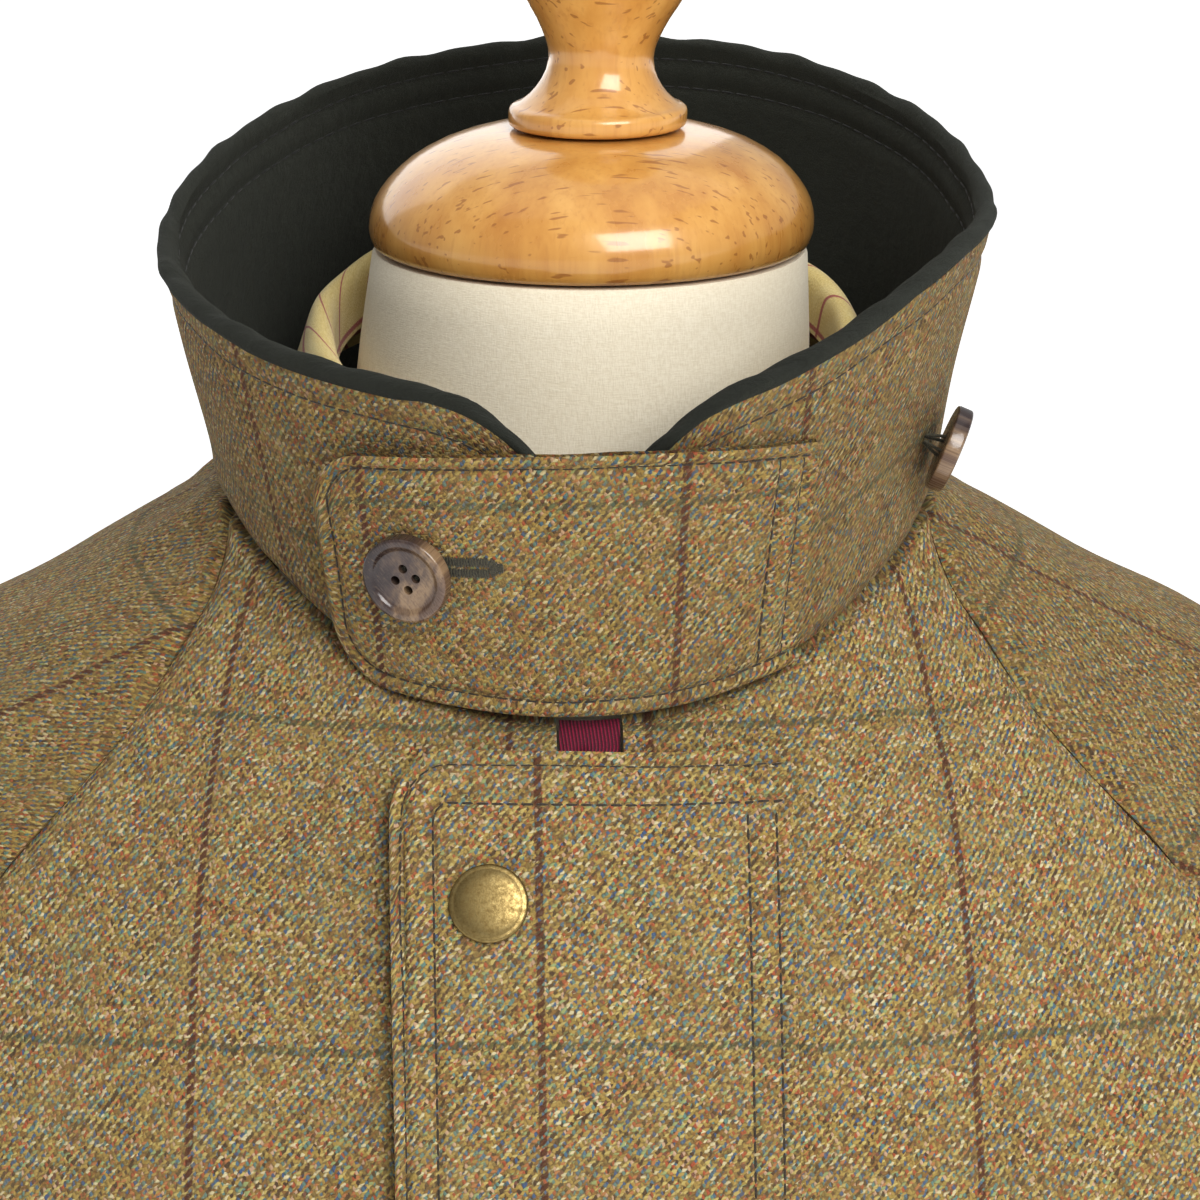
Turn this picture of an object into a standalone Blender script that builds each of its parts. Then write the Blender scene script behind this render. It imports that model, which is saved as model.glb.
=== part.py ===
"""Field coat in tweed, collar up, standing on a limbless dress form.

Metres, +Z up.  The front of the coat faces -Y and the wearer's left is +X.  The origin is on
the floor, under the middle of the stand.  Every cloth piece is a wall of its own thickness,
lofted through the rings of the garment, and pieces that are sewn together share one seam
curve, each of them half a seam gap short of it.
"""
import math
from bisect import bisect_right
from collections import namedtuple
from functools import lru_cache

import bmesh
import bpy
import numpy as np
from mathutils import Matrix, Vector


class Table:
    """Rows of sizes along a garment, read anywhere by a smooth curve through them."""

    def __init__(self, columns, rows):
        self.row_type = namedtuple("Row", columns)
        rows = sorted(rows)
        self.keys = [row[0] for row in rows]
        self.values = [row[1:] for row in rows]
        self.slopes = [self.slope(number) for number in range(len(rows))]
        self.known = {}

    def slope(self, number):
        """Slope of every column at a row, from its neighbours."""
        low, high = max(number - 1, 0), min(number + 1, len(self.keys) - 1)
        run = self.keys[high] - self.keys[low]
        return [(b - a) / run for a, b in zip(self.values[low], self.values[high])]

    def at(self, key):
        """The sizes at a key, as a row with named columns."""
        key = min(max(key, self.keys[0]), self.keys[-1])
        if key not in self.known:
            low = min(max(bisect_right(self.keys, key) - 1, 0), len(self.keys) - 2)
            step = self.keys[low + 1] - self.keys[low]
            t = (key - self.keys[low]) / step
            shares = (2 * t**3 - 3 * t**2 + 1, (t**3 - 2 * t**2 + t) * step,
                      3 * t**2 - 2 * t**3, (t**3 - t**2) * step)
            columns = zip(self.values[low], self.slopes[low], self.values[low + 1], self.slopes[low + 1])
            self.known[key] = self.row_type(key, *(sum(c * w for c, w in zip(column, shares))
                                                   for column in columns))
        return self.known[key]


# ---------------------------------------------------------------- driving dimensions
TWEED = 0.0020              # wall of the shell cloth
TURNED_TWEED = 0.0030       # two layers of it, on the tab and the storm flap
SEAM_GAP = 0.0004           # between two pieces at a seam
LAY_GAP = 0.0005            # between a piece and the panel it lies on
UNDERARM_Z = 1.100          # where the sleeves leave the body
HEM_Z = 0.500
CUFF_Z = 0.620

# Yoke rings, from the neck seam (s = 0) to the underarm (s = 1).  Each ring runs through a
# point on the shoulder line, one at centre front and one at centre back.
YOKE = Table(("s", "side_x", "side_z", "front_y", "front_z", "back_y", "back_z"), (
    (0.00, 0.0780, 1.3300, 0.0760, 1.2975, 0.0730, 1.3480),
    (0.12, 0.0950, 1.3205, 0.0880, 1.2850, 0.0880, 1.3380),
    (0.27, 0.1220, 1.3060, 0.1010, 1.2640, 0.1080, 1.3120),
    (0.45, 0.1620, 1.2850, 0.1140, 1.2340, 0.1260, 1.2720),
    (0.62, 0.2050, 1.2570, 0.1250, 1.2000, 0.1370, 1.2280),
    (0.78, 0.2450, 1.2180, 0.1330, 1.1660, 0.1420, 1.1850),
    (0.90, 0.2740, 1.1640, 0.1380, 1.1330, 0.1430, 1.1420),
    (1.00, 0.2900, 1.1000, 0.1410, 1.1000, 0.1430, 1.1000),
))
# Where the raglan seams cross those rings, as a distance from the centre line.
RAGLAN = Table(("s", "front_x", "back_x"), (
    (0.00, 0.0765, 0.0700),
    (0.06, 0.0788, 0.0740),
    (0.12, 0.0830, 0.0790),
    (0.27, 0.0985, 0.0950),
    (0.45, 0.1245, 0.1180),
    (0.62, 0.1500, 0.1430),
    (0.78, 0.1725, 0.1690),
    (0.90, 0.1890, 0.1880),
    (1.00, 0.1970, 0.1970),
))
CREASE_FROM, CREASE_TO = 0.45, 1.00         # the armpit crease grows between these rings

# Body rings below the underarm.
BODY = Table(("z", "half_width", "front_y", "back_y", "squareness"), (
    (1.100, 0.2080, 0.1410, 0.1430, 3.2),
    (1.050, 0.2070, 0.1420, 0.1430, 2.9),
    (1.000, 0.2060, 0.1420, 0.1420, 2.6),
    (0.900, 0.2080, 0.1410, 0.1400, 2.4),
    (0.800, 0.2140, 0.1430, 0.1430, 2.3),
    (0.700, 0.2210, 0.1470, 0.1480, 2.3),
    (0.600, 0.2270, 0.1510, 0.1530, 2.3),
    (0.500, 0.2320, 0.1540, 0.1570, 2.3),
))
ARMPIT_Y = 0.080            # the armpit points lie this far before and behind the side seam
SLEEVE_BULGE = 0.030        # how far the arm's rings swell past the armpit points

# Sleeve rings below the underarm, for the wearer's left.
SLEEVE = Table(("z", "centre_x", "centre_y", "half_width", "half_depth"), (
    (1.100, 0.2490, 0.000, 0.0410, 0.0900),
    (1.050, 0.2590, -0.002, 0.0450, 0.0850),
    (1.000, 0.2680, -0.004, 0.0470, 0.0800),
    (0.900, 0.2810, -0.008, 0.0480, 0.0720),
    (0.800, 0.2940, -0.014, 0.0470, 0.0660),
    (0.700, 0.3060, -0.022, 0.0460, 0.0610),
    (0.620, 0.3150, -0.030, 0.0450, 0.0580),
))
SLEEVE_ROUND_BY = 0.120     # the flattened armhole ring is an ellipse this far below

# Soft folds of the sleeve round the elbow: ring height, direction round the arm in degrees
# from the outer side towards the front, depth and half-height.
ELBOW_FOLDS = (             # z, direction, depth, reach
    (0.955, 60.0, 0.0050, 0.016),
    (0.905, 100.0, 0.0070, 0.018),
    (0.858, 75.0, 0.0055, 0.015),
    (0.735, -120.0, 0.0045, 0.020),
    (0.680, 110.0, 0.0040, 0.016),
)
FLUTE_DEPTH = 0.0060        # waves of the skirt at the hem
FLUTE_PITCH = 0.1150
FLUTE_TOP_Z = 0.950
FLUTE_CLEAR_X = 0.060       # the storm flap's strip stays flat

# Collar.  Stations round the neck in degrees from centre front, the wearer's left positive,
# with the height of the top edge there.
COLLAR_BASE = (0.0780, 0.0745, -0.0015)     # half-width, half-depth, centre y at the seam
COLLAR_RIM = (0.0920, 0.0866, -0.0014)      # the same at the top edge
RIM = Table(("station", "z"), (
    (-180.0, 1.4173), (-150.0, 1.4116), (-120.0, 1.4000), (-90.0, 1.3865), (-65.0, 1.3800),
    (-48.0, 1.3755), (-33.0, 1.3725), (-18.0, 1.3700), (0.0, 1.3690), (18.0, 1.3705),
    (33.0, 1.3775), (48.0, 1.3860), (65.0, 1.3925), (90.0, 1.3955), (120.0, 1.4072),
    (150.0, 1.4157), (180.0, 1.4173),
))
COLLAR_CLOTH = 0.0016
COLLAR_LINING = 0.0020
COLLAR_LAYER_GAP = 0.0003   # between the two
COLLAR_END_X = (0.0075, 0.0115)             # half of the front gap at the seam and at the top
COLLAR_CORNER = 0.0135      # how far the top edge drops in its rounded front corners
COLLAR_CORNER_RUN = 0.026   # and over what width
COLLAR_CORNER_POWER = 2.2

TAB_STATIONS = (-38.8, 32.0)
TAB_RADIUS = 0.0870         # of the neck under it
TAB_EDGE_Z = (1.3000, 1.3586)               # its lower and upper edge at centre front
TAB_EDGE_RISE_FREE = (0.0165, -0.0075)      # how they run off towards its free end
TAB_EDGE_RISE_SEWN = (0.0270, -0.0045)      # and towards its sewn end
TAB_CORNER = 0.0125
TAB_LIFT = 0.0026           # how far its free end stands off the collar
TAB_LIFT_FADE = (0.05, 0.75)                # shares of its length between which that dies out

FLAP_HALF_WIDTH = 0.0415
FLAP_TOP_Z = 1.2905
FLAP_BOTTOM_Z = 0.5150
FLAP_CORNER = 0.0125
FLAP_LIFT = 0.0022          # how far its free edge stands off the fronts
FLAP_LIFT_FADE = (0.004, 0.060)             # widths from that edge between which it dies out

FRONT_EDGE_X = (0.0070, 0.0030)             # half of the gap between the fronts: neck, below
FRONT_NOTCH = (0.12, 0.25)                  # the yoke rings between which the gap narrows
ZIP_HALF_WIDTH = 0.0140
ZIP_TAPE = 0.0012
ZIP_DROP = 0.0040           # the tape's top below the flap's
SLIDER_DROP = 0.0085        # the slider's middle below the flap's top
SLIDER_SIZE = (0.0036, 0.0070, 0.0014)
SLIDER_BEVEL = 0.0004
SLIDER_OUT = -0.0005        # its middle from the outside of the fronts
RIBBON = 0.0007
RIBBON_HALF_WIDTH = 0.0062
RIBBON_RISE = 0.0085        # its top above the flap's
RIBBON_LENGTH = 0.0120
RIBBON_FOLD = 0.0006        # how deep it is folded
RIBBON_SINK = 0.0010        # how far it lies below the outside of the fronts
STUD_RADIUS = 0.00825
STUD_HEIGHT = 0.0020
STUD_X = -0.0215
STUD_FIRST_Z = 1.2640
STUD_PITCH = 0.1350
STUD_COUNT = 6

BUTTON_RADIUS = 0.0095
BUTTON_THICKNESS = 0.0034
BUTTON_RIM = 0.0018
BUTTON_DISH = 0.0008
BUTTON_HOLE_RADIUS = 0.0010
BUTTON_HOLE_CIRCLE = 0.0024
DRILL_LENGTH = 0.0200
DISC_GAP = 0.0009           # under a flat disc on a curved panel
SPARE_BUTTON_OUT = 0.0046
TAB_BUTTON_STATION, TAB_BUTTON_RISE = -24.3, 0.0285
SPARE_BUTTON_STATION, SPARE_BUTTON_RISE = 61.5, 0.0258
SPARE_BUTTON_TILT = 12.0    # degrees, its top leaning out
SPARE_BUTTON_YAW = 19.0     # and its front edge

# Neck lining: a roll that stands inside the collar.
NECK_LINING = 0.0012
ROLL_CENTRE = (0.0018, -0.0005)
ROLL = Table(("across", "half_width", "half_depth", "rise"), (
    (0.00, 0.0675, 0.0650, -0.0240),
    (0.30, 0.0640, 0.0625, -0.0100),
    (0.52, 0.0612, 0.0600, -0.0022),
    (0.68, 0.0585, 0.0574, 0.0000),
    (0.82, 0.0560, 0.0550, -0.0020),
    (1.00, 0.0545, 0.0536, -0.0110),
))
ROLL_TOP_Z = 1.3670         # its top at the sides
ROLL_SLOPE = 0.25           # and how it climbs towards the back
ROLL_OPENING = 34.0         # it stops this many degrees either side of centre front

# Dress form.  It leans a little to the wearer's left above the shoulders.
FORM_LEAN = 0.058
FORM_LEAN_FROM_Z = 1.330
FORM = (                    # z, half-width, half-depth, centre y
    (0.735, 0.160, 0.105, 0.004),
    (0.745, 0.172, 0.113, 0.004),
    (0.800, 0.182, 0.118, 0.002),
    (0.900, 0.160, 0.105, -0.002),
    (0.980, 0.150, 0.102, -0.004),
    (1.080, 0.172, 0.114, -0.004),
    (1.160, 0.178, 0.108, 0.002),
    (1.210, 0.170, 0.094, 0.008),
    (1.245, 0.142, 0.080, 0.008),
    (1.270, 0.108, 0.068, 0.006),
    (1.295, 0.078, 0.0585, 0.003),
    (1.320, 0.0600, 0.0530, 0.001),
    (1.345, 0.0515, 0.0505, 0.000),
    (1.365, 0.0496, 0.0496, 0.000),
    (1.3835, 0.0478, 0.0478, 0.000),
)
CAP_Z = 1.3840
CAP_PROFILE = (             # radius, height
    (0.0440, 0.0000), (0.0470, 0.0003), (0.0484, 0.0020), (0.0490, 0.0050), (0.0486, 0.0082),
    (0.0470, 0.0120), (0.0436, 0.0162), (0.0385, 0.0202), (0.0310, 0.0237), (0.0225, 0.0257),
    (0.0100, 0.0260),
)
FINIAL_Z = 1.4105
FINIAL_PROFILE = (
    (0.0188, 0.0000), (0.0196, 0.0012), (0.0196, 0.0036), (0.0188, 0.0047), (0.0172, 0.0056),
    (0.0140, 0.0085), (0.0120, 0.0120), (0.0115, 0.0150), (0.0123, 0.0190), (0.0147, 0.0240),
    (0.0178, 0.0290), (0.0203, 0.0345), (0.0212, 0.0405), (0.0204, 0.0470), (0.0176, 0.0530),
    (0.0125, 0.0575), (0.0060, 0.0600),
)
BASE_PROFILE = (
    (0.1720, 0.0000), (0.1780, 0.0020), (0.1800, 0.0070), (0.1785, 0.0130), (0.1700, 0.0180),
    (0.1500, 0.0215), (0.1100, 0.0240), (0.0600, 0.0270), (0.0400, 0.0320), (0.0300, 0.0420),
    (0.0240, 0.0560), (0.0200, 0.0600),
)
POLE_RADIUS = 0.0140
STAND_GAP = 0.0003          # between the pole and what it carries or stands on
TURNED_STEPS = 32
FORM_STEPS = 28

# ---------------------------------------------------------------- finishes
FINISHES = {
    "tweed": ((0.235, 0.175, 0.075), 0.90, 0.0),
    "collar_wool": ((0.016, 0.024, 0.018), 0.95, 0.0),
    "check_cotton": ((0.780, 0.640, 0.300), 0.90, 0.0),
    "crimson_ribbon": ((0.280, 0.004, 0.040), 0.60, 0.0),
    "horn": ((0.120, 0.075, 0.055), 0.25, 0.0),
    "antique_brass": ((0.380, 0.290, 0.130), 0.38, 1.0),
    "zip_tape": ((0.060, 0.050, 0.030), 0.80, 0.0),
    "calico": ((0.720, 0.670, 0.560), 0.90, 0.0),
    "beech": ((0.560, 0.260, 0.090), 0.28, 0.0),
}


# ---------------------------------------------------------------- helpers
def finish(name):
    """Return the named material, made once."""
    material = bpy.data.materials.get(name)
    if material is None:
        colour, roughness, metallic = FINISHES[name]
        material = bpy.data.materials.new(name)
        material.use_nodes = True
        shader = material.node_tree.nodes["Principled BSDF"]
        shader.inputs["Base Color"].default_value = (*colour, 1.0)
        shader.inputs["Roughness"].default_value = roughness
        shader.inputs["Metallic"].default_value = metallic
    return material


def ease(value, low, high):
    """Rise smoothly from 0 at low to 1 at high."""
    t = min(max((value - low) / (high - low), 0.0), 1.0)
    return t * t * (3.0 - 2.0 * t)


def unit(vector):
    """Return the vector at length one."""
    return vector / np.linalg.norm(vector)


def add_object(name, mesh, finish_name):
    """Put a finished mesh in the coat's collection."""
    thing = bpy.data.objects.new(name, mesh)
    COAT.objects.link(thing)
    mesh.materials.append(finish(finish_name))
    mesh.shade_smooth()
    mesh.set_sharp_from_angle(angle=math.radians(40))
    return thing


def normal_of(surface, a, b, a_range, b_range):
    """Normal of surface(a, b), from steps that stay inside the panel."""
    step_a = (a_range[1] - a_range[0]) * 2e-3
    step_b = (b_range[1] - b_range[0]) * 2e-3
    a0, a1 = max(a - step_a, a_range[0]), min(a + step_a, a_range[1])
    b0, b1 = max(b - step_b, b_range[0]), min(b + step_b, b_range[1])
    along_a = surface(a1, b) - surface(a0, b)
    along_b = surface(a, b1) - surface(a, b0)
    return unit(np.cross(along_a, along_b))


class Panel:
    """A piece of cloth: outer points with their normals, the quads between them, a wall."""

    def __init__(self, name, finish_name, thickness):
        self.name = name
        self.finish_name = finish_name
        self.thickness = thickness
        self.points = {}
        self.normals = {}
        self.quads = []

    def patch(self, surface, a_values, b_values, key, outward, insets=()):
        """Add a grid of surface points; key(i, j) names a point, so that patches join.

        insets lists (edge, distance): the edge, "a0", "a1", "b0" or "b1", steps back into
        the patch by that distance.
        """
        a_range = (min(a_values), max(a_values))
        b_range = (min(b_values), max(b_values))
        last_a, last_b = len(a_values) - 1, len(b_values) - 1
        flip = None
        for i, a in enumerate(a_values):
            for j, b in enumerate(b_values):
                point = surface(a, b)
                normal = normal_of(surface, a, b, a_range, b_range)
                if flip is None:
                    flip = np.dot(normal, outward(point)) < 0
                if flip:
                    normal = -normal
                for edge, distance in insets:
                    on_edge = {"a0": i == 0, "a1": i == last_a, "b0": j == 0, "b1": j == last_b}
                    if on_edge[edge]:
                        inner_a = a_values[1 if edge == "a0" else last_a - 1] if edge[0] == "a" else a
                        inner_b = b_values[1 if edge == "b0" else last_b - 1] if edge[0] == "b" else b
                        near = surface(a + 0.02 * (inner_a - a), b + 0.02 * (inner_b - b))
                        point = point + distance * unit(near - surface(a, b))
                spot = key(i, j)
                if spot in self.points:
                    self.normals[spot] = unit(self.normals[spot] + normal)
                else:
                    self.points[spot] = point
                    self.normals[spot] = normal
        for i in range(last_a):
            for j in range(last_b):
                self.quads.append((key(i, j), key(i + 1, j), key(i + 1, j + 1), key(i, j + 1)))

    def build(self, mirror=False):
        """Make the wall: outer skin, inner skin and the rims between them."""
        spots = list(self.points)
        index = {spot: number for number, spot in enumerate(spots)}
        side = np.array((-1.0 if mirror else 1.0, 1.0, 1.0))
        outer = np.array([self.points[spot] for spot in spots]) * side
        normals = np.array([self.normals[spot] for spot in spots]) * side
        inner = outer - self.thickness * normals
        faces = []
        for quad in self.quads:
            ring = [index[spot] for spot in quad]
            ring = [v for n, v in enumerate(ring) if v != ring[n - 1]]
            if len(ring) < 3:
                continue
            facing = np.cross(outer[ring[1]] - outer[ring[0]], outer[ring[2]] - outer[ring[0]])
            if np.dot(facing, normals[ring].sum(axis=0)) < 0:
                ring.reverse()
            faces.append(ring)
        edges = {(face[n - 1], face[n]) for face in faces for n in range(len(face))}
        total = len(spots)
        walls = [list(face) for face in faces]
        walls += [[v + total for v in reversed(face)] for face in faces]
        walls += [[b, a, a + total, b + total] for a, b in edges if (b, a) not in edges]
        mesh = bpy.data.meshes.new(self.name)
        mesh.from_pydata(np.vstack((outer, inner)).tolist(), [], walls)
        return add_object(self.name, mesh, self.finish_name)


def loft(name, rings, finish_name, place=None):
    """A closed solid through rings of points, all with the same count, bottom to top."""
    shape = bmesh.new()
    loops = [[shape.verts.new(point) for point in ring] for ring in rings]
    count = len(loops[0])
    for low, high in zip(loops, loops[1:]):
        for n in range(count):
            after = (n + 1) % count
            shape.faces.new((low[n], low[after], high[after], high[n]))
    shape.faces.new(list(reversed(loops[0])))
    shape.faces.new(loops[-1])
    if place is not None:
        bmesh.ops.transform(shape, matrix=place, verts=shape.verts)
    return add_bmesh(name, shape, finish_name)


def add_bmesh(name, shape, finish_name):
    """Turn a bmesh into one of the coat's objects."""
    mesh = bpy.data.meshes.new(name)
    shape.to_mesh(mesh)
    shape.free()
    return add_object(name, mesh, finish_name)


def ellipse(centre_x, centre_y, half_width, half_depth, z, count):
    """Points of a level ellipse."""
    angles = [2.0 * math.pi * n / count for n in range(count)]
    return [(centre_x + half_width * math.cos(a), centre_y + half_depth * math.sin(a), z) for a in angles]


def turned(name, profile, z, finish_name, steps=TURNED_STEPS, lean=False):
    """A turned solid from a profile of (radius, height) rows, bottom to top."""
    rings = []
    for radius, height in profile:
        x = lean_at(z + height) if lean else 0.0
        rings.append(ellipse(x, 0.0, radius, radius, z + height, steps))
    return loft(name, rings, finish_name)


def lean_at(z):
    """How far the form leans to the wearer's left at a height."""
    return max(0.0, z - FORM_LEAN_FROM_Z) * FORM_LEAN


# ---------------------------------------------------------------- the coat's surfaces
UNDERARM = BODY.at(UNDERARM_Z)
UNDERARM_OUTER_X = YOKE.at(1.0).side_x


def raglan_x(s, back):
    """The raglan seam's distance from the centre line on the ring at s."""
    row = RAGLAN.at(s)
    return row.back_x if back else row.front_x


@lru_cache(maxsize=None)
def armpit(back):
    """The armpit point's x and distance y from the side seam's line."""
    depth = UNDERARM.back_y if back else UNDERARM.front_y
    power = UNDERARM.squareness
    x = UNDERARM.half_width * (1.0 - (ARMPIT_Y / depth) ** power) ** (1.0 / power)
    return x, ARMPIT_Y


def yoke_seam_x(s, back):
    """Where the body's cloth meets the raglan seam, creased in towards the armpit."""
    crease = ease(s, CREASE_FROM, CREASE_TO)
    return (1.0 - crease) * raglan_x(s, back) + crease * armpit(back)[0]


def body_yoke(q, s, back):
    """Body cloth over the chest or the shoulder blade; q is 0 at the centre, 1 at the raglan."""
    ring = YOKE.at(s)
    sign = 1.0 if back else -1.0
    depth, middle_z = (ring.back_y, ring.back_z) if back else (ring.front_y, ring.front_z)
    crease = ease(s, CREASE_FROM, CREASE_TO)
    upper_x = q * raglan_x(s, back)
    cosine2 = min((upper_x / ring.side_x) ** 2, 1.0)
    upper_y = depth * math.sqrt(1.0 - cosine2)
    lower_x = q * armpit(back)[0]
    lower_depth = UNDERARM.back_y if back else UNDERARM.front_y
    power = UNDERARM.squareness
    lower_y = lower_depth * (1.0 - abs(lower_x / UNDERARM.half_width) ** power) ** (1.0 / power)
    z = ring.side_z * cosine2 + middle_z * (1.0 - cosine2)
    x = (1.0 - crease) * upper_x + crease * lower_x
    y = (1.0 - crease) * upper_y + crease * lower_y
    return np.array((x, sign * y, z))


def sleeve_yoke(t, s):
    """Sleeve cloth over the shoulder; t is -1 at the front raglan, 0 on top, 1 at the back."""
    ring = YOKE.at(s)
    back = t > 0.0
    sign = 1.0 if back else -1.0
    depth, middle_z = (ring.back_y, ring.back_z) if back else (ring.front_y, ring.front_z)
    spread = math.acos(min(raglan_x(s, back) / ring.side_x, 1.0))
    angle = abs(t) * spread
    upper = np.array((ring.side_x * math.cos(angle), sign * depth * math.sin(angle)))
    x_in, y_in = armpit(back)
    turn = (1.0 - abs(t)) * math.pi / 2.0
    lower = np.array((
        x_in + (UNDERARM_OUTER_X - x_in) * math.sin(turn),
        sign * (y_in * math.cos(turn) + SLEEVE_BULGE * math.sin(2.0 * turn)),
    ))
    crease = ease(s, CREASE_FROM, CREASE_TO)
    x, y = (1.0 - crease) * upper + crease * lower
    cosine2 = math.cos(angle) ** 2
    return np.array((x, y, ring.side_z * cosine2 + middle_z * (1.0 - cosine2)))


def flute(x, z, back):
    """Waves of the skirt, growing towards the hem and fading at the flap and the sides."""
    grow = ease(FLUTE_TOP_Z - z, 0.0, FLUTE_TOP_Z - HEM_Z)
    fade = 1.0 if back else ease(abs(x), FLUTE_CLEAR_X, 2.0 * FLUTE_CLEAR_X)
    return FLUTE_DEPTH * grow * fade * math.sin(2.0 * math.pi * x / FLUTE_PITCH + (0.6 if back else 0.0))


def skirt_turn_x(z, back):
    """Distance from the centre line of the skirt's column under the armpit."""
    return BODY.at(z).half_width * armpit(back)[0] / UNDERARM.half_width


def body_skirt(q, z, back):
    """Body cloth below the underarm; q is 0 at the centre, 1 under the armpit, 2 at the side."""
    ring = BODY.at(z)
    sign = 1.0 if back else -1.0
    width, power = ring.half_width, ring.squareness
    depth = ring.back_y if back else ring.front_y
    turn_x = skirt_turn_x(z, back)
    turn_y = depth * (1.0 - (turn_x / width) ** power) ** (1.0 / power)
    if q <= 1.0:
        x = q * turn_x
        y = depth * (1.0 - (x / width) ** power) ** (1.0 / power)
    else:
        angle = (2.0 - q) * math.atan2(turn_y, turn_x)
        radius = ((math.cos(angle) / width) ** power + (math.sin(angle) / depth) ** power) ** (-1.0 / power)
        x, y = radius * math.cos(angle), radius * math.sin(angle)
    y += flute(x, z, back) * min(1.0, y / turn_y)
    return np.array((x, sign * y, z))


def sleeve_tube(turn, z):
    """Sleeve cloth below the underarm; turn is 0 at the outer side, -1 under the front armpit,
    1 under the back armpit, and -2 and 2 at the inner side."""
    _, centre_x, centre_y, half_width, half_depth = SLEEVE.at(z)
    back = turn > 0.0
    sign = 1.0 if back else -1.0
    size = abs(turn)
    angle = math.radians(135.0 * size if size <= 1.0 else 135.0 + 45.0 * (size - 1.0))
    fold = 0.0
    for fold_z, direction, depth, reach in ELBOW_FOLDS:
        lean_z = fold_z + 0.25 * half_width * math.cos(angle)
        facing = max(0.0, math.cos(sign * -angle - math.radians(direction)))
        fold += depth * facing * math.exp(-((z - lean_z) / reach) ** 2)
    round_ring = np.array((
        centre_x + (half_width - fold) * math.cos(angle),
        centre_y + sign * (half_depth - fold) * math.sin(angle),
    ))
    x_in, y_in = armpit(back)
    if size <= 1.0:
        corner = (1.0 - size) * math.pi / 2.0
        flat_ring = np.array((
            x_in + (UNDERARM_OUTER_X - x_in) * math.sin(corner),
            sign * (y_in * math.cos(corner) + SLEEVE_BULGE * math.sin(2.0 * corner)),
        ))
    else:
        point = body_skirt(size, UNDERARM_Z, back)
        flat_ring = point[:2]
    top = SLEEVE.at(UNDERARM_Z)
    flat_ring = flat_ring + np.array((centre_x - top.centre_x, centre_y - top.centre_y))
    rounding = ease(UNDERARM_Z - z, 0.0, SLEEVE_ROUND_BY)
    x, y = (1.0 - rounding) * flat_ring + rounding * round_ring
    return np.array((x, y, z))


@lru_cache(maxsize=None)
def front_level(x, level):
    """The coat's outer front surface at a distance from centre front, down a row of the fronts.

    A level up to 1 is a ring of the yoke, and past 1 it counts metres below the underarm.
    """
    side = -1.0 if x < 0.0 else 1.0
    if level <= 1.0:
        point = body_yoke(abs(x) / yoke_seam_x(level, False), level, False)
    else:
        z = UNDERARM_Z - (level - 1.0)
        point = body_skirt(abs(x) / skirt_turn_x(z, False), z, False)
    return point * np.array((side, 1.0, 1.0))


@lru_cache(maxsize=None)
def level_at(x, z):
    """The level of the front surface's point at a height."""
    if z <= UNDERARM_Z:
        return 1.0 + UNDERARM_Z - z
    low, high = 0.0, 1.0
    for _ in range(FRONT_SEARCH_STEPS):
        middle = 0.5 * (low + high)
        if front_level(x, middle)[2] > z:
            low = middle
        else:
            high = middle
    return 0.5 * (low + high)


@lru_cache(maxsize=None)
def front_normal(x, level):
    """The outward normal of that surface."""
    step = 0.002
    across = front_level(x + step, level) - front_level(x - step, level)
    upward = front_level(x, max(level - step, 0.0)) - front_level(x, level + step)
    return unit(np.cross(across, upward))


def over_front(x, level, out):
    """A point a distance outside the coat's front."""
    return front_level(x, level) + out * front_normal(x, level)


def strip_rows(top_z, bottom_z, across):
    """Levels of a strip down the front: its own top, the fronts' own rows, its own bottom."""
    first = max(level_at(x, top_z) for x in across)
    shared = list(YOKE_STEPS) + [1.0 + UNDERARM_Z - z for z in SKIRT_STEPS[1:]]
    last = level_at(0.0, bottom_z)
    return [level for level in shared if first + 0.03 < level < last - 0.01] + [last]


def neck_seam_z(station):
    """Height of the neck seam, station in degrees from centre front."""
    seam = YOKE.at(0.0)
    cosine = math.cos(math.radians(station))
    middle = seam.front_z if cosine > 0.0 else seam.back_z
    return seam.side_z * (1.0 - cosine**2) + middle * cosine**2


def collar_at(station, rise, corner=True):
    """The collar's outer surface; rise is 0 at the neck seam and 1 at the top edge."""
    angle = math.radians(station)
    seam_z = neck_seam_z(station)
    full_z = top_z = RIM.at(station).z
    if corner:
        gap = max(0.0, abs(COLLAR_RIM[0] * math.sin(angle)) - COLLAR_END_X[1])
        if math.cos(angle) > 0.0 and gap < COLLAR_CORNER_RUN:
            top_z -= COLLAR_CORNER * (1.0 - gap / COLLAR_CORNER_RUN) ** COLLAR_CORNER_POWER
    height = rise * (top_z - seam_z)
    share = height / (full_z - seam_z)
    width, depth, middle = (low + share * (high - low) for low, high in zip(COLLAR_BASE, COLLAR_RIM))
    return np.array((width * math.sin(angle), middle - depth * math.cos(angle), seam_z + height))


def collar_normal(station, rise):
    """The outward normal of the collar."""
    across = collar_at(station + 0.5, rise, False) - collar_at(station - 0.5, rise, False)
    upward = collar_at(station, rise + 0.01, False) - collar_at(station, rise - 0.01, False)
    return unit(np.cross(across, upward))


def collar_end_station(rise):
    """Where the collar's front edge lies, in degrees from centre front."""
    width = COLLAR_BASE[0] + rise * (COLLAR_RIM[0] - COLLAR_BASE[0])
    half_gap = COLLAR_END_X[0] + rise * (COLLAR_END_X[1] - COLLAR_END_X[0])
    return math.degrees(math.asin(half_gap / width))


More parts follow.
